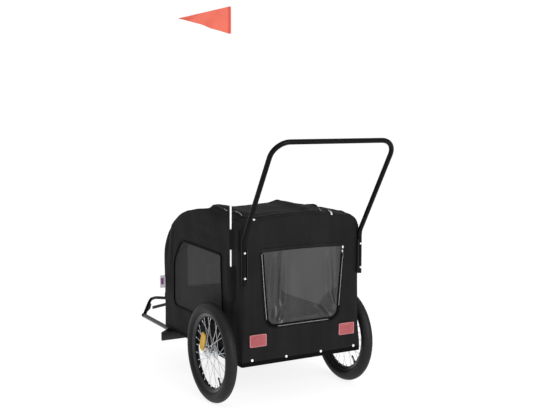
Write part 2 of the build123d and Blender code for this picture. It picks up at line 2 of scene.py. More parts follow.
# # A pet bike trailer, dressed in Blender
#
# The frame, wheels and joints come from a CAD model that is loaded as it is. What CAD does
# badly is added here: sewn cloth, mesh, tyre tread, zips, bolts and every surface's finish.
# Each piece is a grid of points worked out with numpy, and most are tied to the body they move with.

# %% Load the frame
import bmesh
import bpy
import numpy as np
from mathutils import Euler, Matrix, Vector


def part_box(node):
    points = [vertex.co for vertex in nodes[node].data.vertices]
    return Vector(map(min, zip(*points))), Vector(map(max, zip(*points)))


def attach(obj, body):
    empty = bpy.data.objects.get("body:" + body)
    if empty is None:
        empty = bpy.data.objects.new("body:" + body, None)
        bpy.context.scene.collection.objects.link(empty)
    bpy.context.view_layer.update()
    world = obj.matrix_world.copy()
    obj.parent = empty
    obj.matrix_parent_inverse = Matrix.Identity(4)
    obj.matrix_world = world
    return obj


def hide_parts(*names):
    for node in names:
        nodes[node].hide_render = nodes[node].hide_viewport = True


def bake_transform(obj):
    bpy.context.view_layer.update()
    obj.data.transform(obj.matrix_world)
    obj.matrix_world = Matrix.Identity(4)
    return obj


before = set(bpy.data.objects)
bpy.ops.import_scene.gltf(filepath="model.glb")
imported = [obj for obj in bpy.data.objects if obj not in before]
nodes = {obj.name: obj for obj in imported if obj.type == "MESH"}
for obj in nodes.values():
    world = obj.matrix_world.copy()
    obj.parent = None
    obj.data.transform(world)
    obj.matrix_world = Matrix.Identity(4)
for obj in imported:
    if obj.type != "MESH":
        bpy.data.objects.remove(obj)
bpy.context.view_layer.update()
TURN = 2 * np.pi

# %% [markdown]
# ## One handy frame for the whole trailer
#
# A trailer is easiest to write down from its own middle line and axle. So X is to the right
# of the middle line, Y ahead of the main axle and Z above the floor, in metres, and `origin`
# carries each piece to the CAD model's place when its mesh is made.

# %% Where the trailer's own middle is
left_tyre_box, right_tyre_box = np.array(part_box("left_tyre")), np.array(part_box("right_tyre"))
origin = np.array([(left_tyre_box[0, 0] + right_tyre_box[1, 0]) / 2, left_tyre_box[:, 1].mean(), 0.0])


def own(name):
    """A CAD node's lowest and highest corners in the trailer's own frame."""
    return np.array(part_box(name)) - origin


print("origin", origin.round(4), "axle height", round(float(own("left_tyre")[:, 2].mean()), 4))

# %% [markdown]
# ## Grids, sweeps, turned shapes and copies
#
# Nearly everything on a trailer is one of four shapes. A panel is a grid of points. A tube,
# zip or hem is a profile carried along a path. A rim or knob is a profile turned about an
# axis. Spokes, stitches and teeth are one small shape copied many times. Each gives a part:
# its points and its four-cornered faces.

# %% Four kinds of part
def grid(points, wrap_rows=False, wrap_columns=False):
    """A surface through a grid of points; a wrapped side joins its last line to its first."""
    rows, columns = points.shape[:2]
    i, j = np.meshgrid(np.arange(rows - (not wrap_rows)), np.arange(columns - (not wrap_columns)), indexing="ij")
    corners = [((i + a) % rows) * columns + (j + b) % columns for a, b in ((0, 0), (1, 0), (1, 1), (0, 1))]
    return points.reshape(-1, 3), np.stack(corners, -1).reshape(-1, 4)


def joined(*parts):
    """Several parts as one."""
    starts = np.cumsum([0] + [len(p) for p, _ in parts[:-1]])
    return np.concatenate([p for p, _ in parts]), np.concatenate([f + s for (_, f), s in zip(parts, starts)])


def mm(*rows):
    """Millimetres as metres."""
    return np.array(rows, float) / 1000


def xyz(*axes):
    """Points from arrays of their coordinates: two or three, of shapes that match."""
    return np.stack(np.broadcast_arrays(*axes), -1).astype(float)


def unit(v):
    """Vectors of length one."""
    return v / np.maximum(np.linalg.norm(v, axis=-1, keepdims=True), 1e-12)


def swept(path, profile, up=(0, 0, 1), closed=False):
    """A profile (k x 2: sideways, upwards) carried along a path (n x 3), with flat ends.
    The side is tangent x up, and up is then squared off against the tangent; up may vary."""
    path = np.asarray(path, float)
    tangent = unit(np.roll(path, -1, 0) - np.roll(path, 1, 0) if closed else np.gradient(path, axis=0))
    side = unit(np.cross(tangent, np.broadcast_to(np.asarray(up, float), path.shape)))
    over = np.cross(side, tangent)
    points = path[:, None] + profile[None, :, :1] * side[:, None] + profile[None, :, 1:] * over[:, None]
    if not closed:
        first, last = (np.repeat(points[k].mean(0)[None, None], len(profile), 1) for k in (0, -1))
        points = np.concatenate([first, points, last])
    return grid(points, wrap_rows=closed, wrap_columns=True)


def oval(width, height, sides=12, squareness=4.0):
    """A superellipse as a profile: at 2 it is an ellipse, at 4 a flat tape with round edges."""
    angle = np.linspace(0, TURN, sides, endpoint=False)
    c, s = np.cos(angle), np.sin(angle)
    return xyz(*(size / 2 * np.sign(v) * abs(v) ** (2 / squareness) for size, v in ((width, c), (height, s))))


def turned(profile, axis="z", sides=48, centre=(0, 0, 0), closed=False):
    """A profile (k x 2: place along the axis, radius) turned about an axis through centre."""
    along, radius = np.asarray(profile, float).T
    angle = np.linspace(0, TURN, sides, endpoint=False)[:, None]
    c, s = radius * np.cos(angle), radius * np.sin(angle)
    points = xyz(along, c, s) if axis == "x" else xyz(c, s, along)
    return grid(points + centre, wrap_rows=True, wrap_columns=closed)


def copies(part, places, frames):
    """The same small part at many places; frames (n x 3 x 3, or one for all) holds each copy's X, Y and Z as rows."""
    points, faces = part
    places = np.asarray(places, float).reshape(-1, 3)
    frames = np.broadcast_to(np.asarray(frames, float), (len(places), 3, 3))
    moved = np.einsum("pk,nkd->npd", points, frames) + places[:, None]
    shifted = faces[None] + (np.arange(len(places)) * len(points))[:, None, None]
    return moved.reshape(-1, 3), shifted.reshape(-1, 4)


def piece(name, part, material, body="trailer", replaces=(), slot=None, merge=1e-5, facing=None):
    """A part as an object at the origin, with its finish, body and the CAD nodes that it stands for; slot is not used.
    Points closer than merge are joined, which closes seams and poles, and faces are turned outwards; an open sheet
    can say which way it is facing."""
    points, faces = part
    mesh = bpy.data.meshes.new(name)
    mesh.from_pydata((points + origin).tolist(), [], faces.tolist())
    shaped = bmesh.new()
    shaped.from_mesh(mesh)
    bmesh.ops.remove_doubles(shaped, verts=shaped.verts, dist=merge)
    bmesh.ops.delete(shaped, geom=[v for v in shaped.verts if not v.link_faces], context="VERTS")
    bmesh.ops.recalc_face_normals(shaped, faces=shaped.faces)
    if facing and sum((f.normal * f.calc_area() for f in shaped.faces), Vector()).dot(Vector(facing)) < 0:
        bmesh.ops.reverse_faces(shaped, faces=shaped.faces)
    shaped.to_mesh(mesh)
    shaped.free()
    mesh.polygons.foreach_set("use_smooth", np.ones(len(mesh.polygons), bool))
    mesh.materials.append(material)
    made = bpy.data.objects.new(name, mesh)
    bpy.context.scene.collection.objects.link(made)
    if body:
        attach(made, body)
    if replaces:
        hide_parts(*replaces)
    print(f"{name}: {len(mesh.vertices)} points, {len(mesh.polygons)} faces")
    return made


def thicken(sheet, thickness=0.0012, offset=-1):
    """Gives a sheet its cloth's thickness: inwards at offset -1, outwards at 1, both ways at 0."""
    layer = sheet.modifiers.new("cloth", "SOLIDIFY")
    layer.thickness, layer.offset = thickness, offset


print("grid, sweep, turned and copies are ready")

# %% [markdown]
# ## Shader sums that read like sums
#
# Blender draws shader maths as boxes and wires. This small class wraps one socket, so that
# `1 - mask * 0.3` adds the Math nodes by itself. Colours are mixed with Mix nodes, because a
# Math node would turn them grey.

# %% The socket wrapper
class Value:
    """One value of a material: an output socket that can be added, multiplied and mixed."""

    def __init__(self, tree, socket=None):
        self.tree, self.socket = tree, socket

    def node(self, kind, settings=None, sockets=None, output=0):
        """Adds any node: its settings first, then the numbers or links of its sockets."""
        made = self.tree.nodes.new(kind)
        for key, value in (settings or {}).items():
            setattr(made, key, value)
        for key, value in (sockets or {}).items():
            put(self.tree, made.inputs[key], value)
        return Value(self.tree, made.outputs[output])

    def math(self, operation, *values):
        return self.node("ShaderNodeMath", {"operation": operation}, dict(enumerate(values)))

    def __add__(self, other): return self.math("ADD", self, other)
    def __sub__(self, other): return self.math("SUBTRACT", self, other)
    def __rsub__(self, other): return self.math("SUBTRACT", other, self)
    def __mul__(self, other): return self.math("MULTIPLY", self, other)
    def __truediv__(self, other): return self.math("DIVIDE", self, other)
    __radd__, __rmul__ = __add__, __mul__

    def sin(self): return self.math("SINE", self)
    def abs(self): return self.math("ABSOLUTE", self)
    def max(self, other): return self.math("MAXIMUM", self, other)

    def axes(self):
        """The three parts of a vector."""
        return [self.node("ShaderNodeSeparateXYZ", sockets={0: self}, output=k) for k in range(3)]

    def step(self, low, high):
        """0 below low, 1 above high, and a smooth rise between them."""
        return self.node("ShaderNodeMapRange", {"interpolation_type": "SMOOTHSTEP"},
                         {"Value": self, "From Min": low, "From Max": high})

    def between(self, first, second):
        """A colour: the first where this value is 0, the second where it is 1."""
        return self.node("ShaderNodeMix", {"data_type": "RGBA", "clamp_factor": True},
                         {0: self, 6: first, 7: second}, output=2)

    def noise(self, scale, detail=3.0, roughness=0.5):
        """Soft noise about 0.5, with this many spots to the metre."""
        return self.node("ShaderNodeTexNoise", None,
                         {"Vector": self, "Scale": scale, "Detail": detail, "Roughness": roughness})

    def times(self, x, y, z):
        """A vector stretched along its axes."""
        return self.node("ShaderNodeVectorMath", {"operation": "MULTIPLY"}, {0: self, 1: (x, y, z)})

    def bump(self, height, under=None):
        """A relief of this many metres between 0 and 1, over another relief if one is given."""
        more = {"Normal": under} if under is not None else {}
        return self.node("ShaderNodeBump", None, {"Height": self, "Distance": height, **more})


def put(tree, socket, value):
    """A link or a plain number into a socket."""
    if isinstance(value, Value):
        tree.links.new(value.socket, socket)
    else:
        socket.default_value = value


def rgb(*levels):
    """A display colour of 0 to 255 as the linear colour that a shader wants."""
    share = np.array(levels, float) / 255
    linear = np.where(share <= 0.04045, share / 12.92, ((share + 0.055) / 1.055) ** 2.4)
    return (*[float(c) for c in linear], 1.0)


def finish(name, look, slot=None, gloss=None, **constants):
    """A material: look(place) gives the shader's varying inputs from the object's own coordinates, gloss is its
    specular level, and the constants go on the shader's own sockets. The slot is not used."""
    made = bpy.data.materials.new(name)
    made.use_nodes = True
    shader = made.node_tree.nodes["Principled BSDF"]
    place = Value(made.node_tree).node("ShaderNodeTexCoord", output="Object")
    if gloss is not None:
        constants["Specular_IOR_Level"] = gloss
    for key, value in {**constants, **look(place)}.items():
        put(made.node_tree, shader.inputs[key.replace("_", " ")], value)
    return made


print("shader sums are ready")

# %% [markdown]
# ## A finish is a few grains, one over the other
#
# Real surfaces vary at several sizes at once: broad patches of wear or dust, and a fine grain
# that scatters the light. So most finishes are a short table of grains, each with its share
# of the colour and the roughness, and the height of its relief.

# %% Grains and layers
def grain(scale, detail=3.0, stretch=None, roughness=0.5):
    """Soft noise with this many spots to the metre, or stretched by a number along each axis first."""
    return lambda place: (place.times(*stretch) if stretch else place).noise(scale, detail, roughness)


def weave(pitch):
    """Thread ridges from 0 to 1: one sine wave along each axis, this far apart. On a flat panel that faces
    along an axis the third wave stands still, so two sets of ridges cross."""
    def build(place):
        x, y, z = ((part * (TURN / pitch)).sin() for part in place.axes())
        return (x + y + z) / 6 + 0.5
    return build


def layered(dark, light, rough, *layers, tone=0.0, eased=False, metal=None):
    """A finish from layers of (grain, share of colour, share of roughness, relief in metres).
    tone is where the sum of colours starts, and eased smooths it; metal varies with the first grain."""
    def build(place):
        shade, dull, relief = tone, rough, None
        values = [made(place) for made, *_ in layers]
        for value, (_, in_shade, in_dull, height) in zip(values, layers):
            shade = value * in_shade + shade if in_shade else shade
            dull = (value - 0.5) * in_dull + dull if in_dull else dull
            relief = value.bump(height, relief) if height else relief
        shade = shade.step(0.0, 1.0) if eased else shade
        metallic = {} if metal is None else {"Metallic": metal + (values[0] - 0.5) * 0.1}
        return {"Base Color": shade.between(rgb(*dark), rgb(*light)), "Roughness": dull, "Normal": relief, **metallic}
    return build


def from_middle(place):
    """The object's coordinates in the trailer's own frame."""
    return [part - float(start) for part, start in zip(place.axes(), origin)]


print("grains and layers are ready")

# %% [markdown]
# ## Cloth, mesh and film
#
# The cover is a coated polyester: a close plain weave, nearly black, rubbed paler in soft
# upright streaks. The side windows are an open mesh, so the same waves also decide where it
# is open. The rear window is a smoky film, a little denser at its sides.

# %% Soft finishes
MESH_PITCH = 0.0024
TAB_MIDDLE = 0.385   # the height of the pull tab's middle


def cloth_look(dark, light, pitch, rough, streaks=0.6):
    """A woven finish: colour wanders softly between two shades and is a little lighter in upright streaks; creases are
    a relief.
    """
    return layered(dark, light, rough - 0.025, (grain(7, 2), 0.6, 0.16, 0), (grain(1, 2, (38, 38, 3)), streaks, 0, 0),
                   (grain(26, 3, None, 0.6), 0, 0, 0.0012), (weave(pitch), 0.1, -0.05, 0.00008), tone=-0.25, eased=True)


def mesh_look(across):
    """Open mesh: round holes where two sets of waves meet, one along an axis (0 or 1) and one upright."""
    def holes(place):
        return sum((place.axes()[k] * (TURN / MESH_PITCH)).sin() for k in (across, 2))

    plain = layered((49, 49, 50), (60, 60, 61), 0.72, (grain(9, 2), 1, 0.2, 0), (grain(14), 0, 0, 0.001),
                    (holes, 0, 0, -0.0002))
    return lambda place: {**plain(place), "Alpha": 0.93 - holes(place).step(0.0, 1.6) * 0.3}


def film_look(place):
    """Smoky clear film: mostly smooth, with soft hanging waves and a faint grain."""
    broad = grain(1, 2, (9, 9, 2.4))
    plain = layered((24, 24, 26), (48, 48, 50), 0.48, (grain(1, 1, (24, 24, 3)), 0.8, 0, 0),
                    (grain(160, 2), 0, 0.06, 0.0001), (broad, 0.5, 0.16, 0.004), tone=-0.15)
    at_sides = from_middle(place)[0].abs().step(0.055, 0.12)
    return {**plain(place), "Alpha": 0.76 + broad(place) * 0.06 + at_sides * 0.07}


def tab_look(place):
    """White satin tape with one plain woven block of purple in its middle."""
    x, _, z = from_middle(place)
    block = (1 - (z - (TAB_MIDDLE + 0.003)).abs().step(0.014, 0.016)) * (1 - (x + 0.2845).abs().step(0.0062, 0.0078))
    plain = layered((226, 224, 228), (244, 242, 246), 0.5, (weave(0.0012), 1, 0.2, 0.0001))(place)
    return {**plain, "Base Color": block.between(plain["Base Color"], rgb(146, 84, 150))}


soft = {"Sheen Weight": 0.01, "Sheen Roughness": 0.5, "gloss": 0.04}
COVER = finish("cover_fabric", cloth_look((24, 24, 25), (39, 39, 40), 0.001, 0.66, 0.35), **soft)
HEM = finish("hem_tape", cloth_look((5, 5, 5), (12, 12, 12), 0.0016, 0.66), "cover_fabric", **soft)
PULL_TAPE = finish("pull_tape", tab_look, "cover_fabric")
PALE_TAPE = finish("pale_tape", cloth_look((196, 196, 196), (236, 236, 236), 0.0016, 0.6), "cover_fabric")
THREAD = finish("thread", cloth_look((40, 40, 41), (62, 62, 63), 0.0006, 0.5), "cover_fabric")
MESH = finish("side_window_mesh", mesh_look(1), "mesh", 0.08)
NOSE_MESH = finish("nose_window_mesh", mesh_look(0), "mesh", 0.08)
FILM = finish("window_film", film_look, gloss=0.45, Coat_Weight=0.15)
nylon_look = layered((184, 77, 60), (214, 100, 80), 0.55, (grain(16, 2), 0.8, 0.15, 0.0015),
                     (weave(0.0011), 0.2, 0, 0.0001))
PENNANT = finish("pennant_cloth", nylon_look, gloss=0.3, Sheen_Weight=0.1)
PENNANT_SLEEVE = finish("pennant_sleeve", nylon_look, "pennant_cloth", 0.25)

# %% [markdown]
# ## Metal, rubber and plastic
#
# The tubes are powder coated, which leaves a fine orange-peel relief. The hubs and spokes are
# bright zinc, and the beam's rear face carries painted light, greyer low down. Rubber is duller
# and dustier than cloth. Lenses carry small prisms, which are a relief of crossed ridges; the red
# ones have a painted highlight round their edges. The white rod has a faint painted glow.

# %% Hard finishes
PRISM_PITCH = 0.0034


def coat_look(dark, light, rough, peel=900.0):
    """Powder coat: a fine even relief, and patches that are a little duller."""
    return layered(dark, light, rough, (grain(11), 1.5, 0.2, 0), (grain(peel, 2), 0, 0.1, 0.00012), tone=-0.25)


def zinc_look(dark, light, metal):
    """Bright zinc plate: clean metal with a faint cloud and fine rolling marks."""
    return layered(dark, light, 0.26, (grain(60, 4), 1, 0.24, 0), (grain(500, 2, (1, 1, 6)), 0, 0.1, 0.00006),
                   metal=metal)


def moulded_look(dark, light, rough):
    """Moulded plastic: a spark-eroded grain that scatters the light."""
    return layered(dark, light, rough, (grain(14, 2), 1, 0.1, 0), (grain(1100), 0, 0.14, 0.00009))


def prism_look(dark, light):
    """A moulded reflector: crossed ridges that catch the light, under a clear skin."""
    def cells(place):
        x, y, z = place.axes()
        return ((y + z + x) * (TURN / PRISM_PITCH)).sin() * ((y - z + x) * (TURN / PRISM_PITCH)).sin() * 0.5 + 0.5
    return layered(dark, light, 0.3, (cells, 0.7, 0.16, 0.0006), (grain(30, 2), 0.5, 0.1, 0), tone=-0.1)


def red_look(place):
    """A red reflector: its prisms lie inside a paler frame, which is a painted highlight on its edges."""
    low, high = own("rear_reflectors")
    half_wide, half_tall = 0.036, float(high[2] - low[2]) / 2
    x, _, z = from_middle(place)
    # Painted highlight: a paler frame round each lens stands for light on its edges.
    beside = (x.abs() - float(high[0] - half_wide)).abs() / half_wide
    edge = beside.max((z - float(low[2] + half_tall)).abs() / half_tall).step(0.9, 0.95)
    cells = prism_look((126, 38, 42), (176, 80, 84))(place)
    return {**cells, "Base Color": (edge * 0.45).between(cells["Base Color"], rgb(228, 160, 162))}


def beam_painted_light_look(place):
    """The cross beam's coat: black, with painted light on its rear face, which is greyer, most of all low down."""
    low = own("front_beam")[0]
    _, y, z = from_middle(place)
    # Painted light: the rear face is painted greyer, most of all low down, with a little random tone in it.
    painted_rear_light = 1 - (y - float(low[1])).step(0.0004, 0.0012)
    lower = 1 - (z - float(low[2])).step(0.0, 0.04)
    shade = painted_rear_light * (0.1 + lower * 0.8 + place.noise(16.0) * 0.1)
    black = (12, 12, 13)
    coat = layered(black, black, 0.42, (grain(16), 1, 0.2, 0), (grain(900, 2), 0, 0.1, 0.00012))(place)
    return {**coat, "Base Color": shade.between(rgb(*black), rgb(62, 62, 64))}


def pebbles(place):
    """The distance to the nearest of scattered points, 260 to the metre."""
    return place.node("ShaderNodeTexVoronoi", None, {"Vector": place, "Scale": 260.0})


rubber_look = layered((19, 19, 20), (37, 37, 39), 0.5, (grain(9), 0.5, 0.24, 0), (grain(70, 4), 0.7, 0.1, 0.00025),
                      (grain(1500, 1), 0, 0, 0.00008), tone=-0.1)
rod_look = layered((226, 226, 224), (250, 250, 250), 0.36, (grain(5, 2), 0.4, 0, 0),
                   (grain(1, 2, (900, 900, 6)), 0.6, 0.2, 0.00005))
board_look = layered((20, 20, 21), (34, 34, 35), 0.68, (grain(8), 1, 0.2, 0), (pebbles, 0, 0, 0.0004))
BLACK_STEEL = finish("black_steel", coat_look((7, 7, 8), (14, 14, 15), 0.36), gloss=0.08)
BEAM_STEEL = finish("beam_steel", beam_painted_light_look, "black_steel", 0.1)
GREY_STEEL = finish("grey_steel", coat_look((40, 41, 43), (60, 61, 64), 0.34), Metallic=0.3)
BRIGHT_STEEL = finish("bright_steel", zinc_look((196, 200, 205), (240, 243, 246), 0.8))
SPOKE_STEEL = finish("spoke_steel", zinc_look((196, 198, 202), (236, 238, 240), 0.35), "bright_steel")
ZIP_METAL = finish("zip_metal", zinc_look((112, 113, 116), (150, 151, 154), 0.6), "bright_steel")
BLACK_RIM = finish("rim_well", coat_look((8, 8, 8), (16, 16, 17), 0.4, 600.0), "rim_metal", 0.12)
RIM_SIDE = finish("rim_side", coat_look((42, 43, 45), (64, 65, 68), 0.24, 600.0), "rim_metal", Metallic=0.8)
RUBBER = finish("tyre_rubber", rubber_look, gloss=0.15)
AMBER = finish("amber_lens", prism_look((204, 146, 14), (242, 196, 64)), Coat_Weight=0.1)
RED = finish("red_lens", red_look, Coat_Weight=0.2)
PLASTIC = finish("black_plastic", moulded_look((20, 20, 21), (32, 32, 33), 0.5), gloss=0.22)
WHITE_SNAP = finish("snap_white", moulded_look((222, 222, 224), (244, 244, 246), 0.3), "bright_steel",
                    Coat_Weight=0.3)
# The rod's faint emission is painted light: a glow on a part that is no lamp.
ROD_PAINTED_GLOW = finish("white_rod", rod_look, Coat_Weight=0.1, Emission_Color=(1, 1, 1, 1), Emission_Strength=0.25)
BOARD = finish("floor_board", board_look, gloss=0.22)

# %% [markdown]
# ## Finishes for the CAD pieces that stay
#
# Tubes, brackets and lenses are already the right shape, so they keep their CAD mesh and
# only get a finish. Soft pieces and turned wheel parts are replaced further down.

# %% Finish the CAD nodes
kept = {
    BLACK_STEEL: "floor_frame left_side_hoop right_side_hoop rear_roof_bar front_roof_bar push_handle tow_arm "
                 "front_wheel_arm front_fork",
    BOARD: "floor_panel", ROD_PAINTED_GLOW: "flag_pole", RED: "rear_reflectors", BEAM_STEEL: "front_beam", GREY_STEEL: "tow_bar",
    BRIGHT_STEEL: "left_axle right_axle left_hub right_hub", SPOKE_STEEL: "left_spokes right_spokes",
    AMBER: "left_spoke_reflector right_spoke_reflector", BLACK_RIM: "left_rim right_rim",
    PLASTIC: "handle_tabs hitch_coupler hitch_lever front_wheel_hub", RUBBER: "front_tyre left_tyre right_tyre",
}
for material, names in kept.items():
    for mesh in (nodes[name].data for name in names.split()):
        mesh.materials.clear()
        mesh.materials.append(material)
        mesh.polygons.foreach_set("use_smooth", np.zeros(len(mesh.polygons), bool))
print("finished CAD nodes:", sum(len(names.split()) for names in kept.values()))

# %% [markdown]
# ## The shape of the cabin
#
# The cover is one skin stretched over two hoops, so its shape is best said as a distance:
# negative inside the cabin, zero on the cloth, positive outside. Flat sides, a crowned roof
# and a nose that is a quarter of a superellipse are each a simple formula, and `round_max`
# joins them with a rounded edge.

# %% The cabin as a distance
HALF, REAR, FRONT = -own("left_wall")[0, 0], own("rear_wall")[0, 1], own("front_wall")[1, 1]
BOTTOM = own("rear_wall")[0, 2]
NOSE_START, NOSE_LOW, NOSE_TOP, NOSE_POWER = 0.1, 0.507, 0.768, 2.06
ROOF_FALL = 0.2515   # how fast the roof falls away behind the nose
RIDGES = [(-0.232, 0.055, 0.024), (0.056, 0.03, 0.0135), (0.15, 0.03, 0.006)]   # place, half width, height


def round_max(a, b, radius):
    """The larger of two distances, with an edge of this radius where they meet."""
    return np.minimum(-radius, np.maximum(a, b)) + np.hypot(np.maximum(a + radius, 0), np.maximum(b + radius, 0))


def rise(value, low, high):
    """0 below low, 1 above high, smooth between."""
    t = np.clip((value - low) / (high - low), 0, 1)
    return t * t * (3 - 2 * t)


def roof_lift(x, y):
    """The roof above its middle line. Behind the seam of the roof hatch it is crowned and lies in
    long soft ridges, because the zips pull it; ahead of the seam it is stretched almost flat."""
    behind = rise(-y, -0.146, -0.12)
    ridges = sum(height * np.exp(-((x - place) / half) ** 2) for place, half, height in RIDGES) - 0.0035
    ahead = 0.0065 * rise(y, 0.05, 0.2) * rise(-y, -0.42, -0.25) + 0.01 * rise(x, 0.08, 0.24) * rise(y, -0.06, 0.12)
    return behind * (ridges * rise(y, -0.19, -0.06) + 0.006) - ahead - (0.03 + 0.27 * behind) * x * x


def cover_distance(p):
    """Below zero inside the cabin, above zero outside: sides, rear, and a roof that runs into the nose."""
    x, y, z = np.moveaxis(p, -1, 0)
    level = z - roof_lift(x, y)
    flat = level - (NOSE_TOP - ROOF_FALL * (y - NOSE_START) ** 2)
    ahead = np.maximum(y - NOSE_START, 0) / (FRONT - NOSE_START)
    above = np.maximum(level - NOSE_LOW, 0) / (NOSE_TOP - NOSE_LOW)
    nose = ((ahead ** NOSE_POWER + above ** NOSE_POWER) ** (1 / NOSE_POWER) - 1) * (NOSE_TOP - NOSE_LOW)
    side_edge = 0.012 + 0.004 * rise(z, 0.46, 0.66) + 0.034 * rise(-y, -0.16, 0.0)
    rear_edge = 0.028 - 0.014 * rise(z, 0.69, 0.745) - 0.022 * rise(-z, -0.3, -0.2)
    return round_max(round_max(abs(x) - HALF, np.where(y > NOSE_START, nose, flat), side_edge), REAR - y, rear_edge)


def outward(p):
    """The cloth's outward direction: the slope of the distance."""
    d = 0.0015
    return unit(np.stack([cover_distance(p + d * e) - cover_distance(p - d * e) for e in np.eye(3)], -1))


print("cabin", round(2 * HALF, 3), "wide,", round(FRONT - REAR, 3), "long")

# %% [markdown]
# ## Folds
#
# Stretched cloth hangs in shallow waves between its seams, and sharper folds run out of each
# corner that is pulled. A fold is a ridge or groove with a line, a width and a length, so a
# short table gives the cover its creases. A ray from inside finds the cloth by halving its
# step, for as many rays at once as we like, and the creases lift it off its plain shape.

# %% Waves and folds of the cloth
# each: through (mm), along, and (half width, half length, height) in mm
FOLDS = [((-272, 530, 585), (0, 0.25, -1), (9, 70, -4.5)), ((-272, 500, 560), (0, 0.2, -1), (16, 90, 4)),
    ((-272, -70, 470), (0, 0.12, 1), (12, 130, 3)), ((-272, -110, 420), (0, -0.1, 1), (14, 150, -2.8)),
    ((-272, 120, 660), (0, 1, 0.1), (18, 200, -2.2)), ((272, -90, 450), (0, 0.1, 1), (14, 140, 3)),
    ((272, 500, 560), (0, 0.2, -1), (14, 90, 3.5)), ((-215, -182, 480), (0.05, 0, 1), (13, 170, 3)),
    ((-235, -182, 400), (-0.03, 0, 1), (10, 150, -2.5)), ((232, -182, 430), (-0.04, 0, 1), (13, 170, 3)),
    ((0, -182, 690), (1, 0, -0.03), (20, 190, -2.5)), ((-110, -182, 285), (1, 0, 0.1), (16, 120, 2.2)),
    ((120, -182, 290), (1, 0, -0.12), (16, 110, 2.2)), ((0, 300, 740), (1, 0.15, 0), (22, 180, -3)),
    ((-140, 420, 700), (1, 0.9, -0.5), (16, 90, 3)), ((140, 420, 700), (-1, 0.9, -0.5), (16, 90, 3))]
BARS = ((-0.1, 0.01575, 0.003), (0.33, 0.021, 0.002))   # the roof bars under the cloth: place, half width, height
REACH, HALVINGS = 1.5, 34   # how far a ray looks, and how often its step is halved


def folded(p, folds, wander=0.0):
    """How far folds lift the points p: each is its height times exp(-(distance across / half width)^2
    - (distance along / half length)^4), and its line may wander sideways in a slow wave."""
    out = 0.0
    for through, along, size in folds:
        along, step, (width, length, height) = unit(np.array(along, float)), p - mm(*through), mm(*size)
        far = step @ along
        across = np.linalg.norm(step - far[..., None] * along, axis=-1) + wander * np.cos(far * 30)
        out = out + height * np.exp(-(across / width) ** 2 - (far / length) ** 4)
    return out


def crease(p):
    """How far the cloth stands off its plain shape, in metres: slow waves, folds, and the roof bars beneath."""
    x, y, z = np.moveaxis(p, -1, 0)
    slow = (np.sin(21 * y + 3 * z) * np.sin(13 * z + 1.7) + np.sin(17 * x + 2.1) * np.sin(11 * z - 0.6)
            + 0.7 * np.sin(29 * x + 9 * y) + 0.5 * np.sin(41 * y - 23 * z + 15 * x))
    bars = sum(height * np.exp(-((y - place) / half) ** 2) for place, half, height in BARS)
    return 0.0011 * slow * rise(z, BOTTOM, BOTTOM + 0.08) + folded(p, FOLDS, 0.002) + bars * rise(z, 0.7, 0.74)


def hit(start, way, lift=0.0):
    """Points on the creased cloth where rays from inside meet it, and its outward directions there:
    the step is halved again and again."""
    start, way = np.broadcast_arrays(start, way)
    low = np.zeros(start.shape[:-1])
    high = low + REACH
    for _ in range(HALVINGS):
        half = (low + high) / 2
        inside = cover_distance(start + half[..., None] * way) < 0
        low, high = np.where(inside, half, low), np.where(inside, high, half)
    p = start + low[..., None] * way
    n = outward(p)
    return p + (crease(p) + lift)[..., None] * n, n


def cloth(side, points, lift=0.0):
    """Points on the creased cloth, and its outward directions. The points are (y, z) for the left or right
    side, (x, z) for the front or rear and (x, y) for the roof; lift raises them off the cloth."""
    a, b = np.moveaxis(np.asarray(points, float), -1, 0)
    start, way = {"left": ((0, a, b), (-1, 0, 0)), "right": ((0, a, b), (1, 0, 0)), "rear": ((a, 0.1, b), (0, -1, 0)),
                  "front": ((a, 0.1, b), (0, 1, 0)), "roof": ((a, b, 0.4), (0, 0, 1))}[side]
    return hit(xyz(*start), np.array(way, float), lift)


sample = cloth("left", xyz(np.linspace(0, 0.4, 50), 0.65))[0]
print("folds", len(FOLDS), "side wall wanders by", round(float(np.ptp(sample[:, 0])) * 1000, 1), "mm")

# %% [markdown]
# ## Openings
#
# Windows and doors are closed smooth outlines. A window's mesh is a fan of rings from its
# outline to its middle, which keeps the edge exact. The big cover is one grid, so the cells
# inside an outline are dropped, after the points near it have been pulled onto it. A binding
# covers the edge, as on the real thing.

# %% Outlines
OUTLINE_POINTS = 160


def evenly(points, count, closed=True):
    """The same line with its points at equal steps."""
    line = np.asarray(points, float)
    line = np.concatenate([line, line[:1]]) if closed else line
    gone = np.concatenate([[0], np.cumsum(np.linalg.norm(np.diff(line, axis=0), axis=1))])
    wanted = np.linspace(0, gone[-1], count + closed)[:count]
    return np.stack([np.interp(wanted, gone, axis) for axis in line.T], -1)


def rounded_outline(corners, radii):
    """A closed outline through straight sides and round corners, evenly spaced.
    At each corner the sides stop where the arc touches them: radius / tan(half the angle) away."""
    corners, radii = np.asarray(corners, float), np.asarray(radii, float)[:, None]
    back, ahead = unit(np.roll(corners, 1, 0) - corners), unit(np.roll(corners, -1, 0) - corners)
    half = np.arccos(np.clip((back * ahead).sum(1), -1, 1))[:, None] / 2
    centre = corners + unit(back + ahead) * radii / np.sin(half)
    start, end = (corners + way * radii / np.tan(half) - centre for way in (back, ahead))
    t, sweep = np.linspace(0, 1, 17)[None, :, None], (np.pi - 2 * half)[:, None]
    arcs = (np.sin((1 - t) * sweep) * start[:, None] + np.sin(t * sweep) * end[:, None]) / np.sin(sweep)
    return evenly((centre[:, None] + arcs).reshape(-1, 2), OUTLINE_POINTS)


def area_of(outline):
    """An outline's area, below zero if it runs clockwise: half the sum of x * next y - next x * y."""
    after = np.roll(outline, -1, 0)
    return 0.5 * float(np.sum(outline[:, 0] * after[:, 1] - after[:, 0] * outline[:, 1]))


def grown(outline, by):
    """An outline moved outwards by a distance."""
    tangent = unit(np.roll(outline, -1, 0) - np.roll(outline, 1, 0))
    return outline + xyz(tangent[:, 1], -tangent[:, 0]) * by * np.sign(area_of(outline))


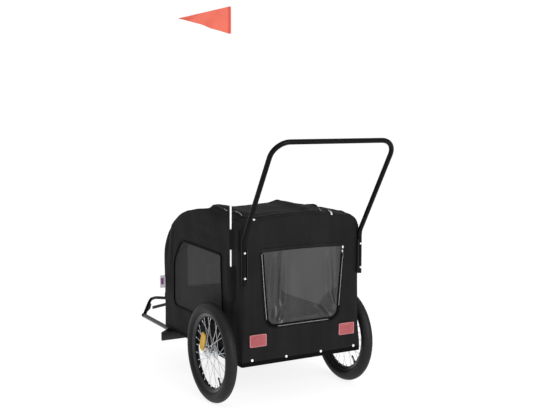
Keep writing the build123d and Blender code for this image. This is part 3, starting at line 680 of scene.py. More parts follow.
def inside_by(points, outline):
    """Distance to an outline, negative inside it, and the nearest point on it."""
    a, rows = outline, np.arange(len(points))
    span = np.roll(a, -1, 0) - a
    t = np.clip(((points[:, None] - a) * span).sum(-1) / (span ** 2).sum(-1), 0, 1)
    near = a + t[..., None] * span
    away = np.linalg.norm(points[:, None] - near, axis=-1)
    best = away.argmin(1)
    crossing = (a[:, 1] > points[:, None, 1]) != (np.roll(a, -1, 0)[:, 1] > points[:, None, 1])
    height = np.where(abs(span[:, 1]) < 1e-9, 1e-9, span[:, 1])
    left = points[:, None, 0] < a[:, 0] + (points[:, None, 1] - a[:, 1]) / height * span[:, 0]
    within = (crossing & left).sum(1) % 2 == 1
    return np.where(within, -1, 1) * away[rows, best], near[rows, best]


def door_arch(x):
    """The rear door's top edge rises a little to its middle: a parabola."""
    return 0.0015 + 0.0035 * (1 - (x / 0.19) ** 2)


(_, back, floor_z), (_, ahead, top_z) = own("left_window_screen") + np.array([[0.01], [-0.01]])
side_window = rounded_outline([(back, floor_z + 0.004), (ahead, floor_z), (ahead, 0.5), (0.385, top_z + 0.004),
                               (back + 0.014, top_z - 0.006), (back + 0.012, 0.56)],
                              (0.012, 0.035, 0.075, 0.075, 0.012, 0.02))
door_low, door_high = own("rear_door")
door_top, foot = door_high[2], 0.162
rear_opening = rounded_outline([(-foot, door_low[2]), (foot, door_low[2]), (door_high[0], door_top),
                                (door_low[0], door_top)], (0.038, 0.038, 0.004, 0.004))
on_top = rear_opening[:, 1] > door_top - 0.003
rear_opening[on_top, 1] += door_arch(rear_opening[on_top, 0])
front_low, front_high = own("front_door")
front_opening = rounded_outline([(front_low[0], front_low[2]), (front_high[0], front_low[2]),
                                 (front_high[0], 0.622), (front_low[0], 0.622)], (0.038, 0.038, 0.05, 0.05))
front_window = rounded_outline([(-0.158, 0.348), (0.158, 0.348), (0.158, 0.61), (-0.158, 0.61)],
                               (0.02, 0.02, 0.045, 0.045))
print("side window", np.ptp(side_window, axis=0).round(3), "rear opening", np.ptp(rear_opening, axis=0).round(3))

# %% [markdown]
# ## The cover
#
# The real cover is sewn from a few panels but is worn as one skin, so it is one surface here:
# columns run up the walls all round, and on over the roof to its middle line. Each point is
# where a ray from the cabin's middle meets the cloth. Rows and columns are closer together
# where the cloth turns a corner.

# %% The cover as one grid
CORE_Z, DENSE, COLUMNS = 0.3, 0.03, 360   # where rays start, how near a corner is dense, columns round the plan
PULLED = 0.0052                           # points this near an opening's outline are pulled onto it
corners = np.array([(0, REAR), (-HALF, REAR), (-HALF, FRONT), (HALF, FRONT), (HALF, REAR), (0, REAR)])
reached = np.concatenate([[0], np.cumsum(np.linalg.norm(np.diff(corners, axis=0), axis=1))])
along = np.linspace(0, reached[-1], 4001)
share = np.cumsum(1 + 2.0 * sum(np.exp(-((along - place) / DENSE) ** 2) for place in reached[1:-1]))
steps = np.interp(np.linspace(share[0], share[-1], COLUMNS + 1)[:-1], share, along)
rim = np.stack([np.interp(steps, reached, axis) for axis in corners.T], -1)
core = xyz(0, np.clip(rim[:, 1], REAR + HALF, FRONT - HALF))
head_x, head_y = unit(rim - core).T
low_slope, high_slope = 1.42, 2.05   # the cloth turns from wall to roof between these slopes of the ray
tilt = np.concatenate([np.zeros(16), np.arctan(np.linspace(0, low_slope, 54)),
                       np.linspace(np.arctan(low_slope), np.arctan(high_slope), 30)[1:],
                       np.pi / 2 - np.arctan(np.linspace(1 / high_slope, 0, 28))[1:]])[:, None]
start_z = np.concatenate([np.linspace(BOTTOM, CORE_Z, 17)[:-1], np.full(len(tilt) - 16, CORE_Z)])[:, None]
starts = xyz(*core.T, start_z)
ways = xyz(np.cos(tilt) * head_x, np.cos(tilt) * head_y, np.sin(tilt))
skin = hit(starts, ways)[0]
top_y, top_height = skin[-1, :, 1], skin[-1, :, 2].copy()
order = np.argsort(top_y)
skin[-1, :, 0], skin[-1, :, 2] = 0.0, np.interp(top_y, top_y[order], top_height[order])
print("cover grid", skin.shape)

# %% Cut the openings
points, cells = grid(skin.copy(), wrap_columns=True)
gone = np.zeros(len(points), bool)
for outline, axes, wall in ((side_window, (1, 2), abs(points[:, 0]) > HALF - 0.03),
                            (grown(rear_opening, 0.005), (0, 2), points[:, 1] < REAR + 0.02),
                            (front_opening, (0, 2), points[:, 1] > 0.45)):
    where = np.flatnonzero(wall)
    away, near = inside_by(points[where][:, axes], outline)
    close = abs(away) < PULLED
    points[np.ix_(where[close], axes)] = near[close]
    gone[where[(away < 0) & ~close]] = True
cover = piece("cover_shell", (points, cells[~gone[cells].any(1)]), COVER,
              replaces=("left_wall", "right_wall", "rear_wall", "front_wall", "roof_cover"))
thicken(cover)

# %% [markdown]
# ## Mesh in the side windows
#
# Each side window is a panel of open mesh, sewn in under a narrow black binding. It is one
# layer of cloth just inside the wall, and light passes through its holes.

# %% Side windows
def fan(outline, rings):
    """Rings from an outline to its middle: rings x points x 2."""
    centre = (outline.max(0) + outline.min(0)) / 2
    return centre + (outline - centre) * np.linspace(1, 0, rings)[:, None, None]


def panel(name, side, rings, lift, material, facing, **more):
    """One layer of cloth through rings of points on a side of the cabin."""
    return piece(name, grid(cloth(side, rings, lift)[0], wrap_columns=True), material, facing=facing, **more)


def tape(line, side, size, lift, count=120, closed=False):
    """A tape or binding along a line on the cloth; size is its width and thickness, as oval takes them."""
    path, normals = cloth(side, line if closed else evenly(line, count, closed=False), lift)
    return swept(path, oval(*size), up=normals, closed=closed)


for side, facing in (("left", (-1, 0, 0)), ("right", (1, 0, 0))):
    net = panel(f"{side}_window_mesh", side, fan(grown(side_window, 0.002), 30), -0.0018, MESH, facing,
                replaces=(f"{side}_window_screen",))
    piece(f"{side}_window_binding", tape(side_window, side, (0.008, 0.0058), 0.0006, closed=True), HEM)
    abs(area_of(side_window))

# %% [markdown]
# ## The rear door
#
# The rear door is a sheet of smoky film. Its top edge is sewn to the cover, and a zip closes
# the other three, so it rolls up. Film keeps the shape it was packed in: upright folds beside
# its stiffer middle, and slanting ones at its lower corners. The film and its binding are tied
# to no body, and do not bend.

# %% Rear film, its folds and its binding
FILM_FOLDS = [((-158, 470), (0.09, 1), (14, 125, -5.25)), ((-128, 470), (0.05, 1), (13, 140, 5.95)),
    ((-101, 455), (0.05, 1), (11, 130, -5.95)), ((-80, 470), (0.03, 1), (10, 150, 4.9)),
    ((-56, 470), (0.02, 1), (14, 120, -2.8)), ((104, 485), (-0.05, 1), (16, 120, -3.5)),
    ((126, 490), (-0.08, 1), (11, 110, 5.25)), ((152, 480), (-0.1, 1), (13, 120, -5.95)),
    ((-124, 368), (0.7, 1), (13, 55, 7.7)), ((-104, 352), (0.7, 1), (12, 50, -6.3)),
    ((-145, 385), (0.45, 1), (10, 50, -4.2)), ((112, 362), (-0.85, 1), (13, 50, -7.7)),
    ((90, 352), (-0.95, 1), (12, 45, 5.95)), ((140, 390), (-0.5, 1), (13, 50, 6.3)),
    ((148, 420), (-0.2, 1), (10, 40, -4.9)), ((-10, 346), (1, 0.05), (13, 90, -3.85))]
film_outline = grown(rear_opening, -0.001)
rings = fan(film_outline, 64)
fade = rise(1 - np.linspace(1, 0, 64), 0.0, 0.16)[:, None]   # the folds end at the film's sewn and zipped edge
film_folds = folded(rings, FILM_FOLDS) + 0.0012 * np.sin(23 * rings[..., 0] + 2) * np.sin(17 * rings[..., 1])
film = panel("rear_film", "rear", rings, 0.0004 + film_folds * fade, FILM, (0, -1, 0), body=None,
             replaces=("rear_door", "rear_door_window"))


def hinged(sheet):
    """Bakes the sheet's place into its mesh; it neither bends nor follows a door."""
    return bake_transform(sheet)


def beside(line, by):
    """An open line moved sideways by a distance."""
    tangent = unit(np.gradient(line, axis=0))
    return line + xyz(-tangent[:, 1], tangent[:, 0]) * by


loop = np.roll(rear_opening, -int(np.argmin(np.linalg.norm(rear_opening - [-0.186, door_top], axis=1))), 0)
loop = loop[loop[:, 1] < door_top - 0.003]
u_path = evenly(loop if loop[0, 0] < 0 else loop[::-1], 170, closed=False)
flap_edge = piece("rear_film_binding", tape(beside(u_path, 0.0035), "rear", (0.007, 0.0026), 0.0016, 170), HEM, None)
for made in (film, flap_edge):
    hinged(made)
top_x = np.linspace(door_low[0] - 0.006, door_high[0] + 0.006, 40)
top_line = xyz(top_x, door_top + 0.002 + door_arch(top_x))
piece("rear_film_top_seam", tape(top_line, "rear", (0.014, 0.0014), 0.0006), COVER)

# %% [markdown]
# ## Zips
#
# A zip is two woven tapes with a row of teeth where they meet, a slider and a pull. The teeth
# are one tiny bar repeated every three millimetres, each square to the line. The sliders sit
# where the door is closed.

# %% Teeth, tape and sliders
def frames_on(path, normals):
    """For copies along a line: each one's X across the line, Y along it and Z off the cloth."""
    tangent = unit(np.gradient(path, axis=0))
    across = unit(np.cross(tangent, normals))
    return np.stack([across, tangent, np.cross(across, tangent)], 1)


def row_of(part, line, side, lift, pitch, closed=False):
    """Copies of a part at equal steps along a line on the cloth."""
    ends = np.concatenate([line, line[:1]]) if closed else line
    count = int(np.linalg.norm(np.diff(ends, axis=0), axis=1).sum() / pitch)
    path, normals = cloth(side, evenly(line, count, closed), lift)
    return copies(part, path, frames_on(path, normals))


TOOTH_PITCH, SLIDER_LIFT = 0.003, 0.003
tooth = swept(mm((-1.9, 0, 0), (0, 0, 0.9), (1.9, 0, 0)), oval(0.0017, 0.0015, 6, 2.0))


def teeth(line, side, lift):
    """A row of zip teeth."""
    return row_of(tooth, line, side, lift, TOOTH_PITCH)


def slider(place, side, hang):
    """A slider's body and its pull, which hangs along a direction (2-D, on the cloth)."""
    ends = lambda first, last: np.asarray(place) + np.array([[first], [last]]) * unit(np.asarray(hang, float))
    return (tape(ends(-0.005, 0.006), side, (0.0085, 0.0048, 10, 3.0), SLIDER_LIFT, 6),
            tape(ends(0.004, 0.03), side, (0.004, 0.0014, 8, 4.0), 2 * SLIDER_LIFT, 8))


piece("rear_zip_tape", tape(beside(u_path, -0.0045), "rear", (0.012, 0.0014), 0.0008, 170), HEM)
x, z = u_path.T
straight = (x < 0) & (z > 0.352), abs(x) < 0.118, (x > 0) & (z > 0.375)
runs = [beside(u_path[part], -0.0018) for part in straight]
piece("rear_zip_teeth", joined(*[teeth(line, "rear", 0.0022) for line in runs],
                               *[tape(line, "rear", (0.0024, 0.0022), 0.0024, 110) for line in runs]),
      ZIP_METAL, merge=0)
sliders, pulls = zip(slider((0.1845, 0.612), "rear", (0.05, -1)), slider((0.1835, 0.596), "rear", (0.1, -1)))
piece("rear_zip_sliders", joined(*sliders), BRIGHT_STEEL)
piece("rear_zip_pulls", joined(*pulls), GREY_STEEL)

# %% [markdown]
# ## The front door and the nose window
#
# Ahead, a tall mesh window is sewn into a flap that opens upwards, with a zip round its sides
# and foot. Flap, mesh and binding are tied to no body, and do not bend.

# %% Front flap, mesh and zip
brow, forwards = front_high[2] + 0.003, (0, 1, 0)
inward = np.linspace(0, 1, 12)[:, None, None]
flap_rings = grown(front_opening, -0.002) * (1 - inward) + front_window * inward
flap = panel("front_flap", "front", flap_rings, 0.0006, COVER, forwards, body=None, replaces=("front_door",))
thicken(flap)
nose_mesh = panel("front_mesh", "front", fan(grown(front_window, 0.002), 36), -0.0006, NOSE_MESH, forwards,
                  body=None, replaces=("front_door_screen",))
mesh_edge = piece("front_mesh_binding", tape(front_window, "front", (0.009, 0.003), 0.0012, closed=True), HEM, None)
for made in (flap, nose_mesh, mesh_edge):
    hinged(made)
z = front_opening[:, 1]
lower, upper = (line[np.argsort(np.arctan2(line[:, 1] - brow, line[:, 0]))]
                for line in (front_opening[z < brow], front_opening[z >= brow]))
piece("front_zip_tape", joined(tape(lower, "front", (0.014, 0.0014), 0.0012, 160),
                               tape(upper, "front", (0.01, 0.0026), 0.001)), HEM)
piece("front_zip_teeth", teeth(lower, "front", 0.0024), ZIP_METAL, merge=0)
piece("front_zip_sliders", joined(*[part for x in (-0.19, 0.19) for part in slider((x, 0.47), "front", (0, -1))]),
      BRIGHT_STEEL)

# %% [markdown]
# ## Seams, hem and snaps
#
# The panels of the cover meet in corded seams: a thin cord in a folded strip, which keeps the
# edge crisp. Two frame the rear, and one runs up each edge of the nose and along the roof. A
# zip closes the roof hatch. Round the bottom the cloth is folded into a hem and held to the
# frame by snaps with bright caps.

# %% Corded seams
def cord_along(path, normals, radius):
    """A thin cord half sunk in the cloth."""
    path, normals = np.split(evenly(np.concatenate([path, normals], -1), 220, closed=False), 2, axis=1)
    return swept(path + unit(normals) * radius * 0.4, oval(2 * radius, 2 * radius, 8, 2.0), up=unit(normals))


SEAM_INSET = 0.06   # rays that find a seam start this far inside the cabin's edges
turn, power = np.linspace(0, np.pi / 2, 80), 2 / NOSE_POWER
nose_z = NOSE_LOW + (NOSE_TOP - NOSE_LOW - SEAM_INSET) * np.sin(turn) ** power
line_y = np.concatenate([np.full(50, FRONT - SEAM_INSET),
                         NOSE_START + (FRONT - NOSE_START - SEAM_INSET) * np.cos(turn) ** power,
                         np.linspace(NOSE_START - 0.01, REAR + 0.05, 40)])
line_z = np.concatenate([np.linspace(BOTTOM + 0.012, NOSE_LOW - 0.01, 50), nose_z, np.full(40, nose_z[-1] - 0.012)])
lean_y = np.concatenate([np.ones(50), np.cos(turn), np.zeros(40)])
lean_z = np.concatenate([np.zeros(50), np.sin(turn), np.ones(40)])
wall_z = np.linspace(BOTTOM + 0.012, 0.7, 60)
seams = []
for y, z, to_y, to_z, radius in ((line_y, line_z, lean_y, lean_z, 0.0017),
                                 (REAR + SEAM_INSET, wall_z, -1, 0, 0.0014)):
    for sign in (-1.0, 1.0):
        start = xyz(sign * (HALF - SEAM_INSET), y, z)
        way = xyz(sign, to_y, to_z)
        seams.append(cord_along(*hit(start, unit(way)), radius))
piece("corded_seams", joined(*seams), COVER)

# %% Hem and roof hatch
piece("bottom_hem", swept(skin[1], oval(0.017, 0.0034), up=outward(skin[1]), closed=True), HEM)
hatch = evenly(mm((-243, 128), (-247, -10), (-240, -70), (-236, -118), (-220, -140), (-170, -148),
    (156, -150)), 200, closed=False)
hatch_front = xyz(np.linspace(-0.243, 0.236, 60), 0.126 + 0.003 * np.sin(np.linspace(0, 9, 60)))
hatch_right = xyz(0.236 + 0.003 * np.sin(np.linspace(0, 7, 60)), np.linspace(0.126, -0.158, 60))
ZIP_GLINTS = [[(-0.245, 0.017), (-0.248, -0.013)], [(-0.239, -0.067), (-0.237, -0.118)],
              [(0.124, -0.1), (0.101, -0.155)]]   # painted glints: bright zip metal laid only where the hatch's zip catches the light
hatch_edges = [tape(line, "roof", (0.012, 0.0022), 0.0008) for line in (hatch_front, hatch_right)]
piece("roof_hatch_tape", joined(tape(hatch, "roof", (0.02, 0.0012), 0.0008, 200), *hatch_edges), COVER)
piece("roof_hatch_teeth", teeth(hatch, "roof", 0.0026), GREY_STEEL, merge=0)
# Painted glints: short runs of bright zip metal on the hatch's zip, where it catches the light.
piece("roof_zip_painted_glints", joined(*[tape(ends, "roof", (0.0036, 0.0016), 0.0036, 12) for ends in ZIP_GLINTS]), ZIP_METAL,
      slot="grey_steel")
piece("roof_slider", joined(*slider((0.154, -0.122), "roof", (-0.38, -1))), GREY_STEEL)
piece("roof_pull_tape", tape([(0.149, -0.135), (0.131, -0.18)], "roof", (0.007, 0.0016), 0.004, 16), PALE_TAPE)

# %% Snaps
CAP = mm((-1, 0), (-1, 5.2), (1, 5.4), (2.2, 4.6), (3, 2.8), (3.2, 0))


def stand_on(normals):
    """Frames whose Z points off the cloth."""
    across = unit(np.cross(np.array([0.02, 0.03, 1.0]), normals))
    return np.stack([across, np.cross(normals, across), normals], 1)


places, normals = cloth("rear", [(-0.2285, 0.2), (-0.077, 0.1965), (0.083, 0.196), (0.241, 0.1987), (-0.2135, 0.743)],
                        0.0018)
piece("snaps", copies(turned(CAP, sides=18), places, stand_on(normals)), WHITE_SNAP)

# %% [markdown]
# ## Stitches
#
# Each binding is held by a row of stitches. A stitch is a short rounded bar that dips into
# the cloth at both ends; it is made once and copied.

# %% Stitch rows
STITCH_PITCH = 0.0046
stitch = swept(mm((0, -1.5, -0.2), (0, -0.7, 0.3), (0, 0.7, 0.3), (0, 1.5, -0.2)),
               oval(0.0007, 0.0007, 5, 2.0))
STITCHED = [(grown(side_window, 0.0028), "left", 0.0018, True), (grown(side_window, 0.0028), "right", 0.0018, True),
            (grown(front_opening, 0.004), "front", 0.0018, True), (beside(u_path, -0.0085), "rear", 0.0016, False),
            (top_line + np.array([0, 0.003]), "rear", 0.0018, False),
            (hatch_front + np.array([0, 0.003]), "roof", 0.0026, False)]   # line, side, lift, closed
rows = [row_of(stitch, line, side, lift, STITCH_PITCH, closed) for line, side, lift, closed in STITCHED]
piece("stitches", joined(*rows), THREAD, merge=0)

# %% [markdown]
# ## Flag sleeve, loop and pull tab
#
# The flag's rod stands in a sewn sleeve on the left wall and passes under a wide band above
# it. Both are flat cloth that arches over the rod. A short loop of coloured tape is sewn into
# the front seam, for pulling the cover off.

# %% Sleeve and band over the rod
rod_low, rod_high = own("flag_pole")
rod_x, rod_y, _ = (rod_low + rod_high) / 2
ARCH_HEIGHT = 0.27805 - HALF + 0.00325 + 0.0022   # from the wall to the rod's middle, its radius, and some air


def arch(name, left, right, bottom, top, closed_bottom, **more):
    """A patch on the left wall that arches over the rod: its lift is the rod's height off the
    wall times exp(-(distance / rod)^4), and falls to nothing at a closed lower end."""
    y, z = np.meshgrid(rod_y + np.linspace(-left, right, 61), np.linspace(bottom, top, 34), indexing="ij")
    lift = ARCH_HEIGHT * np.exp(-((y - rod_y) / 0.0068) ** 4)
    if closed_bottom:
        lift = lift * rise(z, bottom - 0.003, bottom + 0.005)
    wall = cloth("left", xyz(y, z))[0]
    made = piece(name, grid(wall - xyz(lift + 0.0014, 0, 0)), COVER, facing=(-1, 0, 0), **more)
    thicken(made, 0.0013, 1)
    return made


pocket_low, pocket_high = own("flag_pockets")[:, 2]
sleeve = arch("flag_sleeve", 0.02, 0.02, pocket_low, pocket_low + 0.14, True, replaces=("flag_pockets",))
band = arch("flag_band", 0.058, 0.053, pocket_high - 0.079, pocket_high, False)

# %% The pull tab
bend = np.linspace(-np.pi / 2, np.pi / 2, 24)
tab_xy = np.concatenate([[(-0.266, 0.58)], xyz(-0.2925 - 0.0022 * np.cos(bend), 0.5835 + 0.0022 * np.sin(bend)),
                         [(-0.266, 0.587)]])
tab_path = xyz(*evenly(tab_xy, 40, closed=False).T, TAB_MIDDLE)
tab_up = np.cross((0, 0, 1), unit(np.gradient(tab_path, axis=0)))
piece("pull_tab", swept(tab_path, oval(0.056, 0.0012), up=tab_up), PULL_TAPE)

# %% [markdown]
# ## The pennant
#
# The pennant is thin nylon with a sleeve at its mast side. It flies in a long shallow wave
# that grows towards the tip.

# %% Pennant sheet and sleeve
flag_low, flag_high = own("pennant")
tall, reach, tip_drop = float(flag_high[2] - flag_low[2]), float(rod_x - flag_low[0]), 0.054
u, v = np.meshgrid(np.linspace(0, 1, 70), np.linspace(0, 1, 34), indexing="ij")
top_edge = flag_high[2] - tip_drop * u
low_edge = flag_low[2] + (tall - tip_drop) * u + 0.0035 * u * np.sin(13 * u) * (1 - u)
ripple = 0.0085 * u * np.sin(7.5 * u + 1.4 * v) + 0.002 * np.sin(20 * u + 5 * v) * u
flying = xyz(rod_x - reach * u, rod_y + ripple, low_edge + (top_edge - low_edge) * v)
pennant = piece("pennant_sheet", grid(flying), PENNANT, replaces=("pennant",), facing=(0, -1, 0))
thicken(pennant, 0.0006, 0)
sleeve_z = np.linspace(flag_low[2] + 0.001, flag_high[2] - 0.001, 40)
sleeve_path = xyz(rod_x, rod_y, sleeve_z)
piece("pennant_sleeve", swept(sleeve_path, oval(0.0092, 0.0115, 16, 2.0), up=(0, 1, 0)), PENNANT_SLEEVE)
print("pennant", round(reach, 3), "x", round(tall, 3))

# %% [markdown]
# ## Tyres
#
# A tyre is a ring with a round section. Its relief is a change of that section's radius: two
# grooves run round the crown, short slanted grooves cut the shoulders, and low mould lines
# circle the walls. All of it is one function of two angles, so the tyre is one closed grid.

# %% Tyre surface
tyre_low, tyre_high = own("left_tyre")
wheel_x, _, axle_z = (tyre_low + tyre_high) / 2
outer_radius, section = (tyre_high[2] - tyre_low[2]) / 2, (tyre_high[0] - tyre_low[0]) / 2
SEAT = 0.1545                      # the tyre is cut flat here, where it sits in the rim
MOULD_LINES = (1.02, 1.95, 2.12)   # angles from the crown
BLOCKS, SLANT = 96, 7              # shoulder grooves round the tyre, and how far each one slants
ROUND, ACROSS = 720, 72            # points round the tyre, and round its section


def bump_at(angle, place, width):
    """A bell curve over an angle: exp(-((angle - place) / width)^2)."""
    return np.exp(-((angle - place) / width) ** 2)


turn, roll = np.meshgrid(np.linspace(0, TURN, ROUND, endpoint=False),
                         np.linspace(-np.pi, np.pi, ACROSS, endpoint=False), indexing="ij")
shoulder = rise(abs(roll), 0.28, 0.36) * rise(-abs(roll), -0.86, -0.74)
blocks = rise(np.cos(BLOCKS * turn + SLANT * roll), 0.45, 0.85) * shoulder
radius = (section - 0.0011 * bump_at(abs(roll), 0.2, 0.045) - 0.001 * blocks
          + 0.0005 * sum(bump_at(abs(roll), place, 0.03) for place in MOULD_LINES))
out = np.maximum(outer_radius - section + radius * np.cos(roll), SEAT)
tyre = xyz(radius * np.sin(roll), out * np.cos(turn), out * np.sin(turn))
for side, sign in (("left", 1), ("right", -1)):
    piece(f"{side}_tyre_tread", grid(tyre + np.array([sign * wheel_x, 0, axle_z]), wrap_rows=True, wrap_columns=True),
          RUBBER, f"{side}_wheel", (f"{side}_tyre",))

# %% [markdown]
# ## Rims, hubs and spoke ends
#
# A spoked wheel shows its making: a pressed rim with bright sides and a dark painted well, a
# turned hub with two flanges, heads and nipples where the spokes end. The turned parts are
# profiles carried round the axle; the small parts are copied to each spoke. The right wheel
# is the left one turned half round the upright.

# %% Profiles and places of the wheel parts
# each profile: (place along its axis, radius)
RIM_EDGE = mm((5.2, 141.4), (8.5, 145.2), (11.7, 154.6), (12.3, 156), (13.1, 157.2), (12.8, 158.6), (11.5, 158.6),
    (10.6, 156.2), (7.4, 147), (4.8, 143.2))
WELL = mm((-5.4, 141.6), (5.4, 141.6), (6, 143.6), (0, 145), (-6, 143.6))
HUB = mm((-27, 0), (-27, 7.8), (-25.5, 8.8), (-24, 10.6), (-20, 11.2), (-18.6, 12.2), (-18.2, 18), (-17.4, 19),
    (-15.6, 19), (-14.8, 18), (-14, 13), (-11, 10.8), (0, 9.8), (11, 11), (14, 13.2), (14.8, 24), (15.6, 25),
    (17.4, 25), (18.2, 24), (18.6, 12.4), (20, 11.2), (24, 10.6), (25.5, 8.8), (27, 7.8), (27, 0))
NUT = mm((-34.5, 0), (-34.5, 4.5), (-34, 4.8), (-32, 4.8), (-32, 8.4), (-27.5, 8.4), (-27.5, 0))
nipple = turned(mm((0, 0), (0, 2.4), (1.2, 2.4), (1.6, 1.7), (9.5, 1.6), (10.5, 1.2), (10.5, 0)), sides=8)
head = turned(mm((-0.6, 0), (-0.6, 2.1), (0.4, 1.9), (1, 1.2), (1.2, 0)), sides=8)
# Painted shade: a flat dark disc stands for a hole in a hub flange.
hole_shade_disc = turned(mm((0.25, 0), (0.25, 3.6), (-0.4, 4), (-0.4, 0)), sides=14)
stem = turned(mm((0, 0), (0, 4.6), (10, 4), (12, 3), (26, 2.8), (27, 3.8), (34, 3.6), (35, 2.6), (35, 0)), sides=14)
SPOKES, LEAD = 28, np.radians(55.0)   # spokes a wheel, and how far round the hub each one leads
RIM_REACH, HOLES, HOLE_REACH = 0.1425, 6, 0.0176
VALVES = {"left": -126.2, "right": -49.0}   # angles of the valves
number = np.arange(SPOKES)
side_of, lead_of = np.where(number % 2, -1, 1), np.where(number % 4 < 2, 1, -1)
rim_angle = TURN * number / SPOKES


def around(x, radius, angle):
    """Places on a circle about the axle: (x, radius * cos(angle), radius * sin(angle))."""
    return xyz(x, radius * np.cos(angle), radius * np.sin(angle))


def facing_side(way):
    """A frame whose Z points along X, to one side."""
    return [[0, 1, 0], [0, 0, way], [way, 0, 0]]


# %% Build them for both wheels
turned_rim = joined(*[turned(RIM_EDGE * (way, 1), "x", 180, closed=True) for way in (-1, 1)])
turned_well = turned(WELL, "x", 180, closed=True)
turned_hub = joined(turned(HUB, "x", 64), turned(NUT, "x", 6))
nipples = copies(nipple, around(side_of * 0.002, RIM_REACH, rim_angle),
                 stand_on(-around(0, 1, rim_angle) + np.array([0.04, 0, 0]) * side_of[:, None]))
head_places = around(side_of * 0.0165 - lead_of * 0.0018, np.where(side_of > 0, 0.023, 0.017),
                     rim_angle + lead_of * LEAD)
heads = [copies(head, head_places[lead_of == way], facing_side(-way)) for way in (1, -1)]
# Painted shade: dark discs on the flanges where their holes are.
hole_angle = np.linspace(0, TURN, HOLES, endpoint=False) + 0.3
holes = [copies(hole_shade_disc, around(face, HOLE_REACH, hole_angle), facing_side(way))
         for face, way in ((0.0147, -1), (0.0183, 1))]
for side, sign in (("left", 1), ("right", -1)):
    valve_way = around(0, 1, np.radians(VALVES[side]))
    for kind, (points, faces), material, more in (
            ("rim_sides", turned_rim, RIM_SIDE, {"replaces": (f"{side}_rim",)}),
            ("rim_well", turned_well, BLACK_RIM, {}),
            ("hub_turned", turned_hub, BRIGHT_STEEL, {"replaces": (f"{side}_hub",)}),
            ("spoke_ends", joined(nipples, *heads), SPOKE_STEEL, {"merge": 0}),
            ("flange_hole_shade_discs", joined(*holes), PLASTIC, {"merge": 0}),
            ("valve", copies(stem, valve_way * RIM_REACH, stand_on(-valve_way[None])), PLASTIC, {})):
        points = points * (sign, sign, 1) + np.array([sign * wheel_x, 0, axle_z])
        piece(f"{side}_{kind}", (points, faces), material, f"{side}_wheel", **more)
print("wheel parts stand for", SPOKES, "spokes a side")

# %% [markdown]
# ## The front wheel
#
# The small swivel wheel has a solid tyre on a moulded rim. Rim and hub are turned, and one
# curved spoke is copied five times round the axle.

# %% Swivel wheel
small_low, small_high = own("front_tyre")
small_centre, (half_tread, _, small_outer) = (small_low + small_high) / 2, (small_high - small_low) / 2
roll = np.linspace(-np.pi / 2, np.pi / 2, 45)
crown = small_outer - 0.013 + 0.013 * np.cos(roll) ** 0.8 - 0.0012 * bump_at(abs(roll), 0.28, 0.06)
BEAD = [(half_tread, 0.06), (half_tread - 0.004, 0.0562), (-half_tread + 0.004, 0.0562), (-half_tread, 0.06)]
small_profile = np.concatenate([xyz(half_tread * np.sin(roll), crown), BEAD])
piece("front_tyre_tread", turned(small_profile, "x", 288, small_centre, closed=True), RUBBER, "front_wheel",
      ("front_tyre",))
RIM = mm((-14, 56.5), (-15, 54), (-14, 50), (-11, 48), (0, 47.5), (11, 48), (14, 50), (15, 54), (14, 56.5), (0, 56))
CORE = mm((-22, 0), (-22, 10.5), (-21, 12), (21, 12), (22, 10.5), (22, 0))
ARMS = 5
s = np.linspace(0, 1, 12)
arm_path = xyz(0.004 * np.sin(np.pi * s), 0.01 + 0.039 * s, 0.004 * np.sin(np.pi * s))
arm = swept(arm_path, oval(0.013, 0.009, 14, 3.0), up=(1, 0, 0))
angle = np.linspace(0, TURN, ARMS, endpoint=False)
arm_frames = np.stack([around(1, 0, angle), around(0, 1, angle), around(0, 1, angle + TURN / 4)], 1)
small_rim = joined(turned(RIM, "x", 120, small_centre, closed=True), turned(CORE, "x", 40, small_centre))
piece("front_hub_moulded", joined(small_rim, copies(arm, np.tile(small_centre, (ARMS, 1)), arm_frames)), PLASTIC,
      "front_wheel", ("front_wheel_hub",))

# %% [markdown]
# ## Bolts and the latch strap
#
# Small hardware tells how the frame is held together: domed bolts through the handle's legs,
# the cross beam and the fork, and a strap that keeps the tow arm's pin in.

# %% Bolts
BOLT = mm((-3, 0), (-3, 6.6), (0.8, 6.6), (2.6, 5.8), (4, 3.6), (4.2, 2.2), (2.4, 1.8), (2.4, 0))
bolt = turned(BOLT * 0.72, sides=20)
_, handle_high = own("push_handle")
beam_low, beam_high = own("front_beam")
fork_low, fork_high = own("front_fork")
leg_x, beam_y = handle_high[0] - 0.0095, beam_low[1] + 0.0006
spots = ([(sign * leg_x, handle_high[1] - 0.019, z) for sign in (-1, 1) for z in (0.6215, 0.5242)]
         + [(x, beam_y, 0.166) for x in (beam_low[0] + 0.082, beam_high[0] - 0.082, -0.05, 0.05)])
piece("frame_bolts", copies(bolt, spots, stand_on(np.array([(0.0, -1, 0)]))), BRIGHT_STEEL)
fork_spots = [(x, *small_centre[1:]) for x in (fork_low[0] - 0.0003, fork_high[0] + 0.0003)]
sideways = np.array([(-1, 0, 0), (1, 0, 0)])
piece("fork_bolts", copies(bolt, fork_spots, stand_on(sideways)), BRIGHT_STEEL, "swivel_fork")

# %% Latch strap
bar_low, bar_high = own("tow_bar")
bar_end = np.array([(bar_low[0] + bar_high[0]) / 2, bar_high[1], (bar_low[2] + bar_high[2]) / 2])
STRAP = mm((1, 16, -6), (13, 18, 19), (29, 20, 32), (33.5, 20, 47), (27, 20, 60))
piece("latch_strap", swept(evenly(bar_end + STRAP, 40, closed=False), oval(0.016, 0.0034), up=(0, 1, 0.2)), PLASTIC)

# %% [markdown]
# ## Wheel reflectors
#
# A wheel reflector is a clear coloured lens with a field of prisms inside a raised frame. Its
# outline is a superellipse, a rounded rectangle in one formula. It stands where the CAD lens
# stands: the lens's own three axes come from the spread of its points.

# %% Lenses on the spokes
# each ring of a lens: its share of the outline, and its height as a share of half the thickness
LENS = [(0.0, 0.55), (0.4, 0.55), (0.8, 0.55), (0.84, 0.6), (0.86, 1.0), (0.95, 1.0), (0.985, 0.92), (1.0, 0.7)]


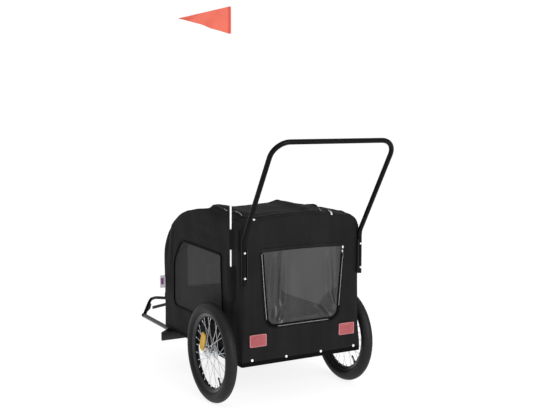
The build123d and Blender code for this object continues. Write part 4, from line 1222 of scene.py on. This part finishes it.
def lens_on(node):
    """A lens in a node's place: rings of a superellipse, whose height follows a frame and a field."""
    corners = np.empty(len(node.data.vertices) * 3)
    node.data.vertices.foreach_get("co", corners)
    placed = np.array(node.matrix_world)
    corners = corners.reshape(-1, 3) @ placed[:3, :3].T + placed[:3, 3] - origin
    axes = np.linalg.svd(corners - corners.mean(0), full_matrices=False)[2]
    spread = corners @ axes.T
    centre, half = (spread.max(0) + spread.min(0)) / 2 @ axes, np.ptp(spread, axis=0) / 2
    angle = np.linspace(0, TURN, 72, endpoint=False)
    c, s = np.cos(angle), np.sin(angle)
    reach = (abs(c) ** 5 + abs(s) ** 5) ** (-1 / 5)
    share, height = np.concatenate([LENS, np.array(LENS)[::-1] * (1, -1)]).T[..., None]
    print("lens half sizes", np.round(half, 4))
    local = xyz(share * reach * c * half[0], share * reach * s * half[1], height * half[2])
    return centre + local @ axes


for side in ("left", "right"):
    piece(f"{side}_reflector_lens", grid(lens_on(nodes[f"{side}_spoke_reflector"]), wrap_columns=True), AMBER,
          f"{side}_wheel", (f"{side}_spoke_reflector",))

# %% [markdown]
# ## Floor, light and camera
#
# A pale floor and soft light from overhead and two sides show dark cloth best: its folds are
# seen by what they reflect. The camera stands behind the trailer on its left, a little above
# the roof, and looks slightly down.

# %% Floor
reach = np.linspace(-30, 30, 9)
floor_grid = xyz(*np.meshgrid(reach, reach, indexing="ij"), 0)
PALE, PALER = (0.28, 0.28, 0.28, 1), (0.3, 0.3, 0.3, 1)
floor_look = lambda place: {"Base Color": place.noise(0.6, 2.0).between(PALE, PALER)}
FLOOR = finish("studio_floor", floor_look, "", 0.0, Roughness=0.9, Emission_Color=(1, 1, 1, 1),
               Emission_Strength=0.83)
floor = piece("studio_floor", grid(floor_grid), FLOOR, None, facing=(0, 0, 1))

# %% World and lamps
world = bpy.data.worlds.new("studio")
bpy.context.scene.world = world
world.use_nodes = True
seen = Value(world.node_tree).node("ShaderNodeLightPath", output="Is Camera Ray")
backdrop = world.node_tree.nodes["Background"].inputs
put(world.node_tree, backdrop["Color"], (1, 1, 1, 1))
put(world.node_tree, backdrop["Strength"], seen * 0.5 + 0.5)   # white to the eye, half as bright as a light


def placed(name, data):
    """An object for a lamp or the camera, put in the scene."""
    made = bpy.data.objects.new(name, data)
    bpy.context.scene.collection.objects.link(made)
    return made


def lamp(name, place, target, size, power):
    """A square soft lamp at a place, facing a target."""
    made = placed(name, bpy.data.lights.new(name, "AREA"))
    made.data.shape, made.data.size, made.data.energy = "SQUARE", size, power
    made.location = np.asarray(place) + origin
    made.rotation_euler = Vector(np.subtract(place, target)).to_track_quat("Z", "Y").to_euler()


lamp("strip", (-1.6, 3.4, 2.2), (0, 0.2, 0.5), 1.6, 8)
lamp("rear", (0.6, -4.8, 2.2), (0, 0.1, 0.5), 2.6, 180)
sun = placed("overhead", bpy.data.lights.new("overhead", "SUN"))
sun.data.energy, sun.data.angle = 0.6, 1.4
sun.rotation_euler = Euler((0.25, -0.2, 0.0))

# %% Camera
view = placed("view", bpy.data.cameras.new("view"))
view.location = np.array([-1.787, -3.115, 1.144]) + origin
view.rotation_euler = Euler(np.radians([90 - 5.883, 0, -29.08]))
view.data.sensor_width, view.data.lens = 36.0, 59.2
view.data.clip_start, view.data.clip_end = 0.05, 60.0
bpy.context.scene.camera = view
bpy.context.scene.view_settings.view_transform = "Standard"
print("camera at", [round(c, 3) for c in view.location])
